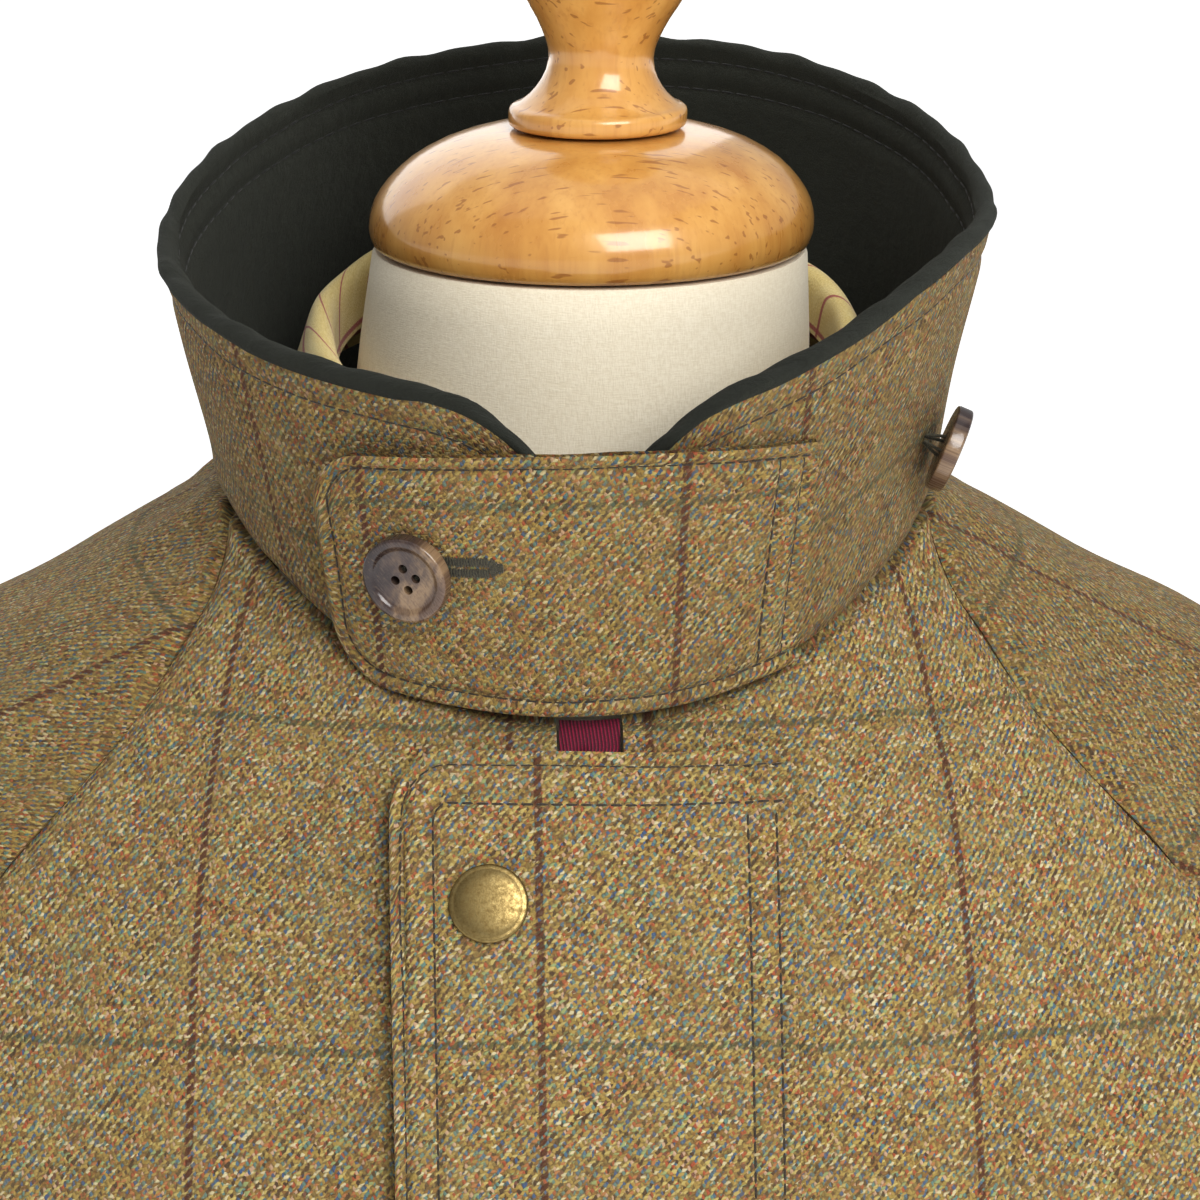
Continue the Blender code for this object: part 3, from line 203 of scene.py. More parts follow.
class Cut:
    """The coat's outer surfaces, worked out from the tables above."""

    @staticmethod
    def armpit(side: Side) -> float:
        """Distance of the armpit points from the centre line."""
        half_width, front_y, back_y, power = BODY.at(UNDERARM_Z)
        depth = side.pick(front_y, back_y)
        return float(half_width * (1.0 - (ARMPIT_Y / depth) ** power) ** (1.0 / power))

    @staticmethod
    def raglan_x(s: Array, side: Side) -> Array:
        """The raglan seam's distance from the centre line on the ring at s."""
        front, back = RAGLAN.at(s)
        return side.pick(front, back)

    @staticmethod
    def seam_x(s: Array, side: Side) -> Array:
        """Where the body's cloth meets the raglan seam, creased in towards the armpit."""
        crease = ease(s, CREASE_FROM, CREASE_TO)
        return (1.0 - crease) * Cut.raglan_x(s, side) + crease * Cut.armpit(side)

    @staticmethod
    def body_yoke(q: Array, s: Array, side: Side) -> Array:
        """Body cloth above the underarm; q is 0 at the centre and 1 at the raglan seam."""
        side_x, side_z, front_y, front_z, back_y, back_z = YOKE.at(s)
        depth, middle_z = side.pick((front_y, front_z), (back_y, back_z))
        crease = ease(s, CREASE_FROM, CREASE_TO)
        upper_x = q * Cut.raglan_x(s, side)
        cosine2 = np.minimum((upper_x / side_x) ** 2, 1.0)
        upper_y = depth * np.sqrt(1.0 - cosine2)
        half_width, low_front, low_back, power = BODY.at(UNDERARM_Z)
        lower_x = q * Cut.armpit(side)
        lower_depth = side.pick(low_front, low_back)
        lower_y = lower_depth * (1.0 - np.abs(lower_x / half_width) ** power) ** (1.0 / power)
        x = (1.0 - crease) * upper_x + crease * lower_x
        y = (1.0 - crease) * upper_y + crease * lower_y
        return np.stack((x, side.value * y, side_z * cosine2 + middle_z * (1.0 - cosine2)), -1)

    @staticmethod
    def flute(x: Array, z: Array, side: Side) -> Array:
        """Waves of the skirt, growing towards the hem."""
        grow = ease(FLUTE_TOP_Z - z, 0.0, FLUTE_TOP_Z - HEM_Z)
        fade = side.pick(ease(np.abs(x), FLUTE_CLEAR_X, 2.0 * FLUTE_CLEAR_X), 1.0)
        phase = side.pick(0.0, 0.6)
        return FLUTE_DEPTH * grow * fade * np.sin(2.0 * math.pi * x / FLUTE_PITCH + phase)

    @staticmethod
    def body_skirt(q: Array, z: Array, side: Side) -> Array:
        """Body cloth below the underarm; q is 1 under the armpit and 2 at the side seam."""
        width, front_y, back_y, power = BODY.at(z)
        depth = side.pick(front_y, back_y)
        turn_x = width * Cut.armpit(side) / BODY.at(UNDERARM_Z)[0]
        turn_y = depth * (1.0 - (turn_x / width) ** power) ** (1.0 / power)
        x = np.minimum(q, 1.0) * turn_x
        y = depth * (1.0 - (x / width) ** power) ** (1.0 / power)
        angle = (2.0 - np.maximum(q, 1.0)) * np.arctan2(turn_y, turn_x)
        radius = ((np.abs(np.cos(angle)) / width) ** power
                  + (np.abs(np.sin(angle)) / depth) ** power) ** (-1.0 / power)
        x = np.where(q <= 1.0, x, radius * np.cos(angle))
        y = np.where(q <= 1.0, y, radius * np.sin(angle))
        y = y + Cut.flute(x, z, side) * np.minimum(1.0, y / turn_y)
        return np.stack((x, side.value * y, z), -1)

    @staticmethod
    def body(q: Array, level: Array, side: Side) -> Array:
        """Body cloth at a level: a yoke ring up to 1, and metres below the underarm past it.

        Args:
            q: 0 at the centre line, 1 at the raglan seam or under the armpit, 2 at the side
                seam; negative on the wearer's right.
            level: The level down the coat.
            side: Front or back.

        Returns:
            Points, one for each q and level.
        """
        above = Cut.body_yoke(np.minimum(np.abs(q), 1.0), np.minimum(level, 1.0), side)
        below = Cut.body_skirt(np.abs(q), UNDERARM_Z - np.maximum(level - 1.0, 0.0), side)
        points = np.where((level <= 1.0)[..., None], above, below)
        points[..., 0] *= np.where(q < 0.0, -1.0, 1.0)
        return points

    @staticmethod
    def flat_ring(size: Array, back: Array) -> tuple[Array, Array]:
        """The armhole's ring at the underarm, from the shoulder line (0) to the armpits (1)."""
        x_in = np.where(back, Cut.armpit(Side.BACK), Cut.armpit(Side.FRONT))
        outer_x = YOKE.at(1.0)[0]
        turn = (1.0 - size) * math.pi / 2.0
        return (x_in + (outer_x - x_in) * np.sin(turn),
                ARMPIT_Y * np.cos(turn) + SLEEVE_BULGE * np.sin(2.0 * turn))

    @staticmethod
    def sleeve_cap(t: Array, s: Array) -> Array:
        """Sleeve over the shoulder; t is -1 at the front raglan seam and 1 at the back one."""
        back = t > 0.0
        side_x, side_z, front_y, front_z, back_y, back_z = YOKE.at(s)
        depth, middle_z = np.where(back, back_y, front_y), np.where(back, back_z, front_z)
        seam = np.where(back, Cut.raglan_x(s, Side.BACK), Cut.raglan_x(s, Side.FRONT))
        angle = np.abs(t) * np.arccos(np.minimum(seam / side_x, 1.0))
        low_x, low_y = Cut.flat_ring(np.abs(t), back)
        crease = ease(s, CREASE_FROM, CREASE_TO)
        x = (1.0 - crease) * side_x * np.cos(angle) + crease * low_x
        y = (1.0 - crease) * depth * np.sin(angle) + crease * low_y
        cosine2 = np.cos(angle) ** 2
        return np.stack((x, np.where(back, y, -y), side_z * cosine2 + middle_z * (1.0 - cosine2)), -1)

    @staticmethod
    def sleeve_tube(turn: Array, z: Array) -> Array:
        """Sleeve below the underarm; turn is 0 outside, 1 under an armpit, 2 on the inside."""
        centre_x, centre_y, half_width, half_depth = SLEEVE.at(z)
        back, size = turn > 0.0, np.abs(turn)
        sign = np.where(back, 1.0, -1.0)
        angle = np.radians(np.where(size <= 1.0, 135.0 * size, 135.0 + 45.0 * (size - 1.0)))
        fold = np.zeros_like(z)
        for fold_z, direction, depth, reach in ELBOW_FOLDS:
            lean_z = fold_z + 0.25 * half_width * np.cos(angle)
            facing = np.maximum(0.0, np.cos(-sign * angle - math.radians(direction)))
            fold = fold + depth * facing * np.exp(-(((z - lean_z) / reach) ** 2))
        round_x = centre_x + (half_width - fold) * np.cos(angle)
        round_y = centre_y + sign * (half_depth - fold) * np.sin(angle)
        near_x, near_y = Cut.flat_ring(np.minimum(size, 1.0), back)
        under_q, under_z = np.maximum(size, 1.0), np.full_like(z, UNDERARM_Z)
        side_front = Cut.body_skirt(under_q, under_z, Side.FRONT)
        side_back = Cut.body_skirt(under_q, under_z, Side.BACK)
        under = np.where(back[..., None], side_back, side_front)
        flat_x = np.where(size <= 1.0, near_x, under[..., 0])
        flat_y = np.where(size <= 1.0, sign * near_y, under[..., 1])
        top_x, top_y = SLEEVE.at(UNDERARM_Z)[:2]
        rounding = ease(UNDERARM_Z - z, 0.0, SLEEVE_ROUND_BY)
        x = (1.0 - rounding) * (flat_x + centre_x - top_x) + rounding * round_x
        y = (1.0 - rounding) * (flat_y + centre_y - top_y) + rounding * round_y
        return np.stack((x, y, z), -1)

    @staticmethod
    def sleeve(turn: Array, level: Array) -> Array:
        """The whole sleeve at a level that counts as in body()."""
        above = Cut.sleeve_cap(np.clip(turn, -1.0, 1.0), np.minimum(level, 1.0))
        below = Cut.sleeve_tube(turn, UNDERARM_Z - np.maximum(level - 1.0, 0.0))
        return np.where((level <= 1.0)[..., None], above, below)

    @staticmethod
    def front(x: Array, level: Array) -> Array:
        """The coat's front at a distance from centre front, where x stays on the flat part."""
        turn_x = BODY.at(UNDERARM_Z - np.maximum(level - 1.0, 0.0))[0] * Cut.armpit(Side.FRONT)
        turn_x = turn_x / BODY.at(UNDERARM_Z)[0]
        reach = np.where(level <= 1.0, Cut.seam_x(np.minimum(level, 1.0), Side.FRONT), turn_x)
        return Cut.body(x / reach, level, Side.FRONT)

    @staticmethod
    def level_at(x: Array, z: Array) -> Array:
        """The level of the front's points at heights, by halving."""
        low, high = np.zeros_like(z), np.ones_like(z)
        for _ in range(24):
            middle = 0.5 * (low + high)
            above = Cut.front(x, middle)[..., 2] > z
            low, high = np.where(above, middle, low), np.where(above, high, middle)
        return np.where(z <= UNDERARM_Z, 1.0 + UNDERARM_Z - z, 0.5 * (low + high))

    @staticmethod
    def front_normal(x: Array, level: Array) -> Array:
        """The outward normal of the coat's front."""
        step = 0.002
        across = Cut.front(x + step, level) - Cut.front(x - step, level)
        upward = Cut.front(x, np.maximum(level - step, 0.0)) - Cut.front(x, level + step)
        return unit(np.cross(across, upward))

    @staticmethod
    def over_front(x: Array, level: Array, out: Array | float) -> Array:
        """Points a distance outside the coat's front."""
        return Cut.front(x, level) + np.asarray(out)[..., None] * Cut.front_normal(x, level)

    @staticmethod
    def neck_seam_z(station: Array) -> Array:
        """Height of the neck seam, station in degrees from centre front."""
        _, side_z, _, front_z, _, back_z = YOKE.at(0.0)
        cosine = np.cos(np.radians(station))
        middle = np.where(cosine > 0.0, front_z, back_z)
        return side_z * (1.0 - cosine**2) + middle * cosine**2

    @staticmethod
    def collar(station: Array, rise: Array, corner: bool = True) -> Array:
        """The collar's outer surface; rise is 0 at the neck seam and 1 at the top edge."""
        station = wrap(station)
        angle = np.radians(station)
        seam_z, full_z = Cut.neck_seam_z(station), RIM.at(station)[0]
        top_z = full_z
        if corner:
            gap = np.maximum(0.0, np.abs(COLLAR_RIM[0] * np.sin(angle)) - COLLAR_END_X[1])
            drop = COLLAR_CORNER * np.clip(1.0 - gap / COLLAR_CORNER_RUN, 0.0, 1.0) ** COLLAR_CORNER_POWER
            top_z = top_z - np.where(np.cos(angle) > 0.0, drop, 0.0)
        height = rise * (top_z - seam_z)
        share = height / (full_z - seam_z)
        width, depth, middle = (low + share * (high - low) for low, high in zip(COLLAR_BASE, COLLAR_RIM))
        return np.stack((width * np.sin(angle), middle - depth * np.cos(angle), seam_z + height), -1)

    @staticmethod
    def collar_normal(station: Array, rise: Array) -> Array:
        """The outward normal of the collar."""
        across = Cut.collar(station + 0.5, rise, False) - Cut.collar(station - 0.5, rise, False)
        upward = Cut.collar(station, rise + 0.01, False) - Cut.collar(station, rise - 0.01, False)
        return unit(np.cross(across, upward))

    @staticmethod
    def collar_end(rise: Array) -> Array:
        """Where the collar's front edge lies, in degrees from centre front."""
        width = COLLAR_BASE[0] + rise * (COLLAR_RIM[0] - COLLAR_BASE[0])
        half_gap = COLLAR_END_X[0] + rise * (COLLAR_END_X[1] - COLLAR_END_X[0])
        return np.degrees(np.arcsin(half_gap / width))

    @staticmethod
    def tab_lift(station: Array | float) -> Array:
        """How far the tab's face stands off the collar; its free end lifts."""
        share = (station - TAB_STATIONS[0]) / (TAB_STATIONS[1] - TAB_STATIONS[0])
        return LAY_GAP + TURNED_TWEED + TAB_LIFT * (1.0 - ease(share, *TAB_LIFT_FADE))

    @staticmethod
    def tab(station: Array, height: Array, out: float = 0.0) -> Array:
        """A point over the collar at a world height, a distance outside the tab's own lift."""
        seam_z = Cut.neck_seam_z(station)
        rise = (height - seam_z) / (RIM.at(station)[0] - seam_z)
        lift = Cut.tab_lift(station) + out
        return Cut.collar(station, rise, False) + lift[..., None] * Cut.collar_normal(station, rise)

    @staticmethod
    def tab_edges(station: Array) -> tuple[Array, Array]:
        """Heights of the tab's lower and upper edge."""
        sine2 = np.sin(np.radians(station)) ** 2
        return tuple(edge + np.where(station < 0.0, free, sewn) * sine2
                     for edge, free, sewn in zip(TAB_EDGE_Z, TAB_EDGE_RISE_FREE, TAB_EDGE_RISE_SEWN))


# ---------------------------------------------------------------- modelling helpers
def fresh() -> None:
    """Leave edit mode and deselect all, so that an operator acts on what comes next."""
    if bpy.context.object is not None and bpy.context.object.mode != "OBJECT":
        bpy.ops.object.mode_set(mode="OBJECT")
    bpy.ops.object.select_all(action="DESELECT")


def only(thing: Thing) -> None:
    """Make one object the selected and active one."""
    fresh()
    thing.select_set(True)
    bpy.context.view_layer.objects.active = thing


def apply(thing: Thing, kind: str, **settings: object) -> None:
    """Add a modifier with these settings and apply it."""
    only(thing)
    modifier = thing.modifiers.new(kind.lower(), kind)
    for name, value in settings.items():
        setattr(modifier, name, value)
    bpy.ops.object.modifier_apply(modifier=modifier.name)


def edited(thing: Thing, *steps: Callable[[], object]) -> None:
    """Run operators on the whole of a mesh in edit mode."""
    only(thing)
    bpy.ops.object.mode_set(mode="EDIT")
    bpy.ops.mesh.select_all(action="SELECT")
    for step in steps:
        step()
    bpy.ops.object.mode_set(mode="OBJECT")


def linked(name: str, data: bpy.types.ID) -> Thing:
    """Put a new object of some data in the scene."""
    thing = bpy.data.objects.new(name, data)
    bpy.context.scene.collection.objects.link(thing)
    return thing


def settle(thing: Thing, name: str, material: Material, angle: float = 40.0) -> None:
    """Name a finished piece, give it its one material and smooth it."""
    thing.name = thing.data.name = name
    thing.data.materials.clear()
    thing.data.materials.append(material)
    only(thing)
    bpy.ops.object.shade_smooth_by_angle(angle=math.radians(angle))


def register(thing: Thing, slot: str, nodes: Sequence[str] = ()) -> None:
    """Ride a piece on the coat's one body and hide the nodes that it replaces."""
    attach(thing, "root")
    if nodes:
        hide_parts(*nodes)
    LOG.info("%s: %d faces", thing.name, len(thing.data.polygons))


def spaced(start: float, end: float, coarse: float, fine: float, near: Sequence[float] = (),
           reach: float = 1.0) -> Array:
    """Values from start to end whose steps shrink near the given places.

    Args:
        start: First value.
        end: Last value.
        coarse: Step far from the places.
        fine: Step at the places.
        near: The places.
        reach: How far from a place its fine steps reach.

    Returns:
        The values, both ends included.
    """
    values, here = [start], start
    sign = 1.0 if end > start else -1.0
    while (end - here) * sign > 0.0:
        close = max([math.exp(-(((here - place) / reach) ** 2)) for place in near] or [0.0])
        here += sign * (coarse + (fine - coarse) * close)
        values.append(here)
    out = np.array(values)
    return start + (out - start) * (end - start) / (out[-1] - start)


@dataclass
class Crease:
    """A soft trough or ridge between two places on a panel, in metres of its cloth."""

    u0: float
    v0: float
    u1: float
    v1: float
    depth: float            # negative for a trough
    width: float
    bow: float = 0.0        # how far its middle is bent sideways

    def height(self, u: Array, v: Array) -> Array:
        """The relief that the crease adds at cloth places (u, v)."""
        run_u, run_v = self.u1 - self.u0, self.v1 - self.v0
        length = math.hypot(run_u, run_v)
        along = ((u - self.u0) * run_u + (v - self.v0) * run_v) / length**2
        aside = ((u - self.u0) * run_v - (v - self.v0) * run_u) / length
        inside = np.clip(along, 0.0, 1.0)
        aside = aside - self.bow * np.sin(math.pi * inside)
        taper = np.sin(math.pi * inside) ** 0.8
        return self.depth * taper * np.exp(-((aside / self.width) ** 2))


class Patch:
    """A grid of cloth: its points, its place in the cloth and its distances from its edges."""

    def __init__(self, surface: Surface, a: Array, b: Array,
                 outward: Callable[[Array], Array]) -> None:
        """Work out the points and normals of the surface at every pair of a and b."""
        self.a, self.b = np.meshgrid(a, b, indexing="ij")
        self.points = surface(self.a, self.b)
        self.normals = self.normal(self.points)
        facing = outward(self.points)
        middle = (len(a) // 2, len(b) // 2)
        self.flipped = bool(np.dot(self.normals[middle], facing[middle]) < 0.0)
        if self.flipped:
            self.normals = -self.normals
        step_a = np.linalg.norm(np.diff(self.points, axis=0), axis=2)
        step_b = np.linalg.norm(np.diff(self.points, axis=1), axis=2)
        self.from_a0 = np.vstack((np.zeros((1, len(b))), np.cumsum(step_a, axis=0)))
        self.from_b0 = np.hstack((np.zeros((len(a), 1)), np.cumsum(step_b, axis=1)))
        self.from_a1 = self.from_a0[-1:, :] - self.from_a0
        self.from_b1 = self.from_b0[:, -1:] - self.from_b0
        self.u, self.v = self.from_a0.copy(), self.from_b0.copy()

    @staticmethod
    def normal(points: Array) -> Array:
        """Normals of a grid of points."""
        return unit(np.cross(np.gradient(points, axis=0), np.gradient(points, axis=1)))

    def displace(self, heights: Array) -> None:
        """Move the points out along their normals."""
        self.points = self.points + heights[..., None] * self.normals

    def inset(self, edge: str, distance: float) -> None:
        """Step one edge back into the patch."""
        grid = self.points if edge[0] == "a" else self.points.swapaxes(0, 1)
        last, near = (0, 1) if edge[1] == "0" else (-1, -2)
        grid[last] += distance * unit(grid[near] - grid[last])

    def meet(self, edge: str, points: Array, rows: int = 6) -> None:
        """Bring an edge onto a neighbour's, easing the difference out over a few rows."""
        place, step = (0, 1) if edge == "a0" else (-1, -1)
        gap = points - self.points[place]
        for row in range(rows):
            self.points[place + step * row] += gap * (1.0 - row / rows) ** 2

    def build(self, mirror: bool = False) -> Thing:
        """Make the patch from a grid primitive, with its cloth places as its UV map."""
        count_a, count_b = self.a.shape
        fresh()
        bpy.ops.mesh.primitive_grid_add(x_subdivisions=count_a - 1, y_subdivisions=count_b - 1, size=1.0)
        thing = bpy.context.object
        mesh = thing.data
        places = np.empty(len(mesh.vertices) * 3)
        mesh.vertices.foreach_get("co", places)
        places = places.reshape(-1, 3)
        i = np.rint((places[:, 0] + 0.5) * (count_a - 1)).astype(int)
        j = np.rint((places[:, 1] + 0.5) * (count_b - 1)).astype(int)
        points = self.points[i, j]
        if mirror:
            points = points * np.array((-1.0, 1.0, 1.0))
        mesh.vertices.foreach_set("co", points.astype(np.float32).ravel())
        loops = np.empty(len(mesh.loops), int)
        mesh.loops.foreach_get("vertex_index", loops)
        sign = -1.0 if mirror else 1.0
        flat = np.stack((sign * self.u[i, j][loops], self.v[i, j][loops]), -1)
        layer = mesh.uv_layers[0] if mesh.uv_layers else mesh.uv_layers.new()
        layer.name = "cloth"
        layer.data.foreach_set("uv", flat.astype(np.float32).ravel())
        if self.flipped != mirror:
            edited(thing, bpy.ops.mesh.flip_normals)
        mesh.update()
        return thing


def sew(patches: Sequence[Thing], weld: float = 0.00003) -> Thing:
    """Join patches of one piece and merge the points that they share."""
    only(patches[0])
    if len(patches) > 1:
        for patch in patches:
            patch.select_set(True)
        bpy.ops.object.join()
        edited(patches[0], lambda: bpy.ops.mesh.remove_doubles(threshold=weld))
    return patches[0]


def thicken(thing: Thing, wall: float, rounded: float = 0.0) -> None:
    """Give cloth its wall, inward, with its weave carried on over the rims, and round its rims."""
    faces = len(thing.data.vertices)
    apply(thing, "SOLIDIFY", thickness=wall, offset=-1.0, use_rim=True)
    corners, layer = thing.data.loops, thing.data.uv_layers["cloth"].data
    inner, flat = np.empty(len(corners), int), np.empty(2 * len(corners))
    corners.foreach_get("vertex_index", inner)
    layer.foreach_get("uv", flat)
    layer.foreach_set("uv", flat + np.repeat(np.where(inner >= faces, 0.8 * wall, 0.0), 2))
    if rounded > 0.0:
        apply(thing, "BEVEL", width=rounded, segments=3, limit_method="ANGLE", angle_limit=math.radians(60.0))


def cloth_piece(patches: Sequence[Thing], name: str, node: str, wall: float, slot: str,
                material: Material, rounded: float = 0.0, angle: float = 40.0,
                **cut: object) -> Thing:
    """Finish one piece of cloth.

    Args:
        patches: Its patches, to be sewn together.
        name: The piece's name.
        node: The node that it replaces.
        wall: How thick it is.
        slot: The name of its finish; not used.
        material: Its finish.
        rounded: How far its turned edges are rounded.
        angle: The angle up to which it is shaded smooth, in degrees.

    Returns:
        The finished piece.
    """
    thing = sew(patches)
    thicken(thing, wall, rounded)
    settle(thing, name, material, angle)
    register(thing, slot, [node])
    return thing


def loft_by_extrusion(rings: Sequence[tuple[float, float, float, float, float]], steps: int) -> Thing:
    """Raise a solid from a disc by extruding and resizing its top, ring by ring.

    Args:
        rings: Centre x and y, half-width, half-depth and height of each ring.
        steps: Sides of the rings.

    Returns:
        The solid, its top and bottom closed by fans.
    """
    fresh()
    x, y, half_width, half_depth, z = rings[0]
    bpy.ops.mesh.primitive_circle_add(vertices=steps, radius=1.0, fill_type="NGON", location=(0, 0, 0))
    thing = bpy.context.object
    bpy.ops.object.mode_set(mode="EDIT")
    bpy.ops.mesh.select_all(action="SELECT")
    bpy.ops.transform.resize(value=(half_width, half_depth, 1.0), center_override=(0.0, 0.0, 0.0))
    bpy.ops.transform.translate(value=(x, y, z))
    for new_x, new_y, new_width, new_depth, new_z in rings[1:]:
        bpy.ops.mesh.extrude_region_move(
            TRANSFORM_OT_translate={"value": (new_x - x, new_y - y, new_z - z)})
        bpy.ops.transform.resize(value=(new_width / half_width, new_depth / half_depth, 1.0),
                                 center_override=(new_x, new_y, new_z))
        x, y, half_width, half_depth, z = new_x, new_y, new_width, new_depth, new_z
    bpy.ops.mesh.select_all(action="SELECT")
    bpy.ops.mesh.normals_make_consistent(inside=False)
    bpy.ops.object.mode_set(mode="OBJECT")
    return thing


def frame_at(point: Array, normal: Array, upward: Sequence[float] = (0.0, 0.0, 1.0)) -> Matrix:
    """A placing matrix whose local Z is the normal and local Y is near upward."""
    z_axis = Vector(normal.tolist()).normalized()
    x_axis = Vector(upward).cross(z_axis).normalized()
    turn = Matrix((x_axis, z_axis.cross(x_axis), z_axis)).transposed().to_4x4()
    return Matrix.Translation(Vector(point.tolist())) @ turn


def put(thing: Thing, place: Matrix) -> None:
    """Bake a place into a piece's mesh, so that its object stays at the origin."""
    thing.data.transform(thing.matrix_world)
    thing.matrix_world = Matrix.Identity(4)
    thing.data.transform(place)
    thing.data.update()


def read_off(thing: Thing) -> tuple[Array, list[tuple[int, ...]]]:
    """Take a small shape's points and faces, and remove it."""
    mesh = thing.data
    points = np.array([vertex.co[:] for vertex in mesh.vertices])
    faces = [tuple(face.vertices) for face in mesh.polygons]
    bpy.data.objects.remove(thing, do_unlink=True)
    bpy.data.meshes.remove(mesh)
    return points, faces


def repeated(name: str, copies: Sequence[Array], shape_faces: Sequence[tuple[int, ...]]) -> Thing:
    """Join copies of one small shape as a single mesh, from the points of each."""
    faces = [tuple(v + number * len(points) for v in face)
             for number, points in enumerate(copies) for face in shape_faces]
    mesh = bpy.data.meshes.new(name)
    mesh.from_pydata(np.vstack(copies).tolist(), [], faces)
    return linked(name, mesh)


@dataclass
class StitchRow:
    """A row of sewing stitches along points of a panel, each sunk a little in its cloth."""

    length: float
    pitch: float
    width: float
    height: float

    def template(self) -> tuple[Array, list[tuple[int, ...]]]:
        """One stitch as by hand: a six-sided cylinder with its ends drawn in."""
        fresh()
        bpy.ops.mesh.primitive_cylinder_add(vertices=6, radius=0.5, depth=1.0, rotation=(0.0, math.pi / 2, 0.0))
        thing = bpy.context.object
        bpy.ops.object.transform_apply(location=False, rotation=True, scale=False)
        apply(thing, "BEVEL", width=0.22, segments=1, limit_method="ANGLE", angle_limit=math.radians(60.0))
        points, faces = read_off(thing)
        return points * np.array((self.length, self.width, self.height)), faces

    def build(self, name: str, paths: Sequence[tuple[Array, Array]],
              material: Material, cloth: Thing, sink: float = 0.00002) -> Thing:
        """Sew along paths.

        Args:
            name: The piece's name.
            paths: Pairs of arrays, points along a row and the cloth's normals there.
            material: The thread.
            cloth: The finished cloth that is sewn, on whose face each stitch is laid.
            sink: How far the stitches' middles lie under the cloth's face.

        Returns:
            All the stitches as one mesh.
        """
        shape, shape_faces = self.template()
        tree = BVHTree.FromPolygons([vertex.co[:] for vertex in cloth.data.vertices],
                                    [tuple(face.vertices) for face in cloth.data.polygons])

        def on_cloth(point: Array, normal: Array) -> Array:
            hit = tree.ray_cast(Vector(point + 0.006 * normal), Vector(-normal), 0.012)[0]
            return point if hit is None else np.array(hit[:])

        def read(place: float, along: Array, values: Array) -> Array:
            return np.array([np.interp(place, along, values[:, n]) for n in range(3)])

        stitches = []
        for row, normals in paths:
            along = np.concatenate(((0.0,), np.cumsum(np.linalg.norm(np.diff(row, axis=0), axis=1))))
            count = max(1, int(along[-1] / self.pitch))
            for middle in (np.arange(count) + 0.5) * along[-1] / count:
                normal = unit(read(middle, along, normals))
                here, ahead = (on_cloth(read(middle + d, along, row), normal)
                               for d in (-0.3 * self.length, 0.3 * self.length))
                x_axis = unit(ahead - here)
                y_axis = unit(np.cross(normal, x_axis))
                axes = np.stack((x_axis, y_axis, np.cross(x_axis, y_axis)))
                stitches.append(shape @ axes + 0.5 * (here + ahead) - sink * normal)
        thing = repeated(name, stitches, shape_faces)
        settle(thing, name, material, 80.0)
        return thing


# ---------------------------------------------------------------- finishes
MIX_FIRST, MIX_SECOND, MIX_RESULT = 6, 7, 2     # a mix node's colour sockets


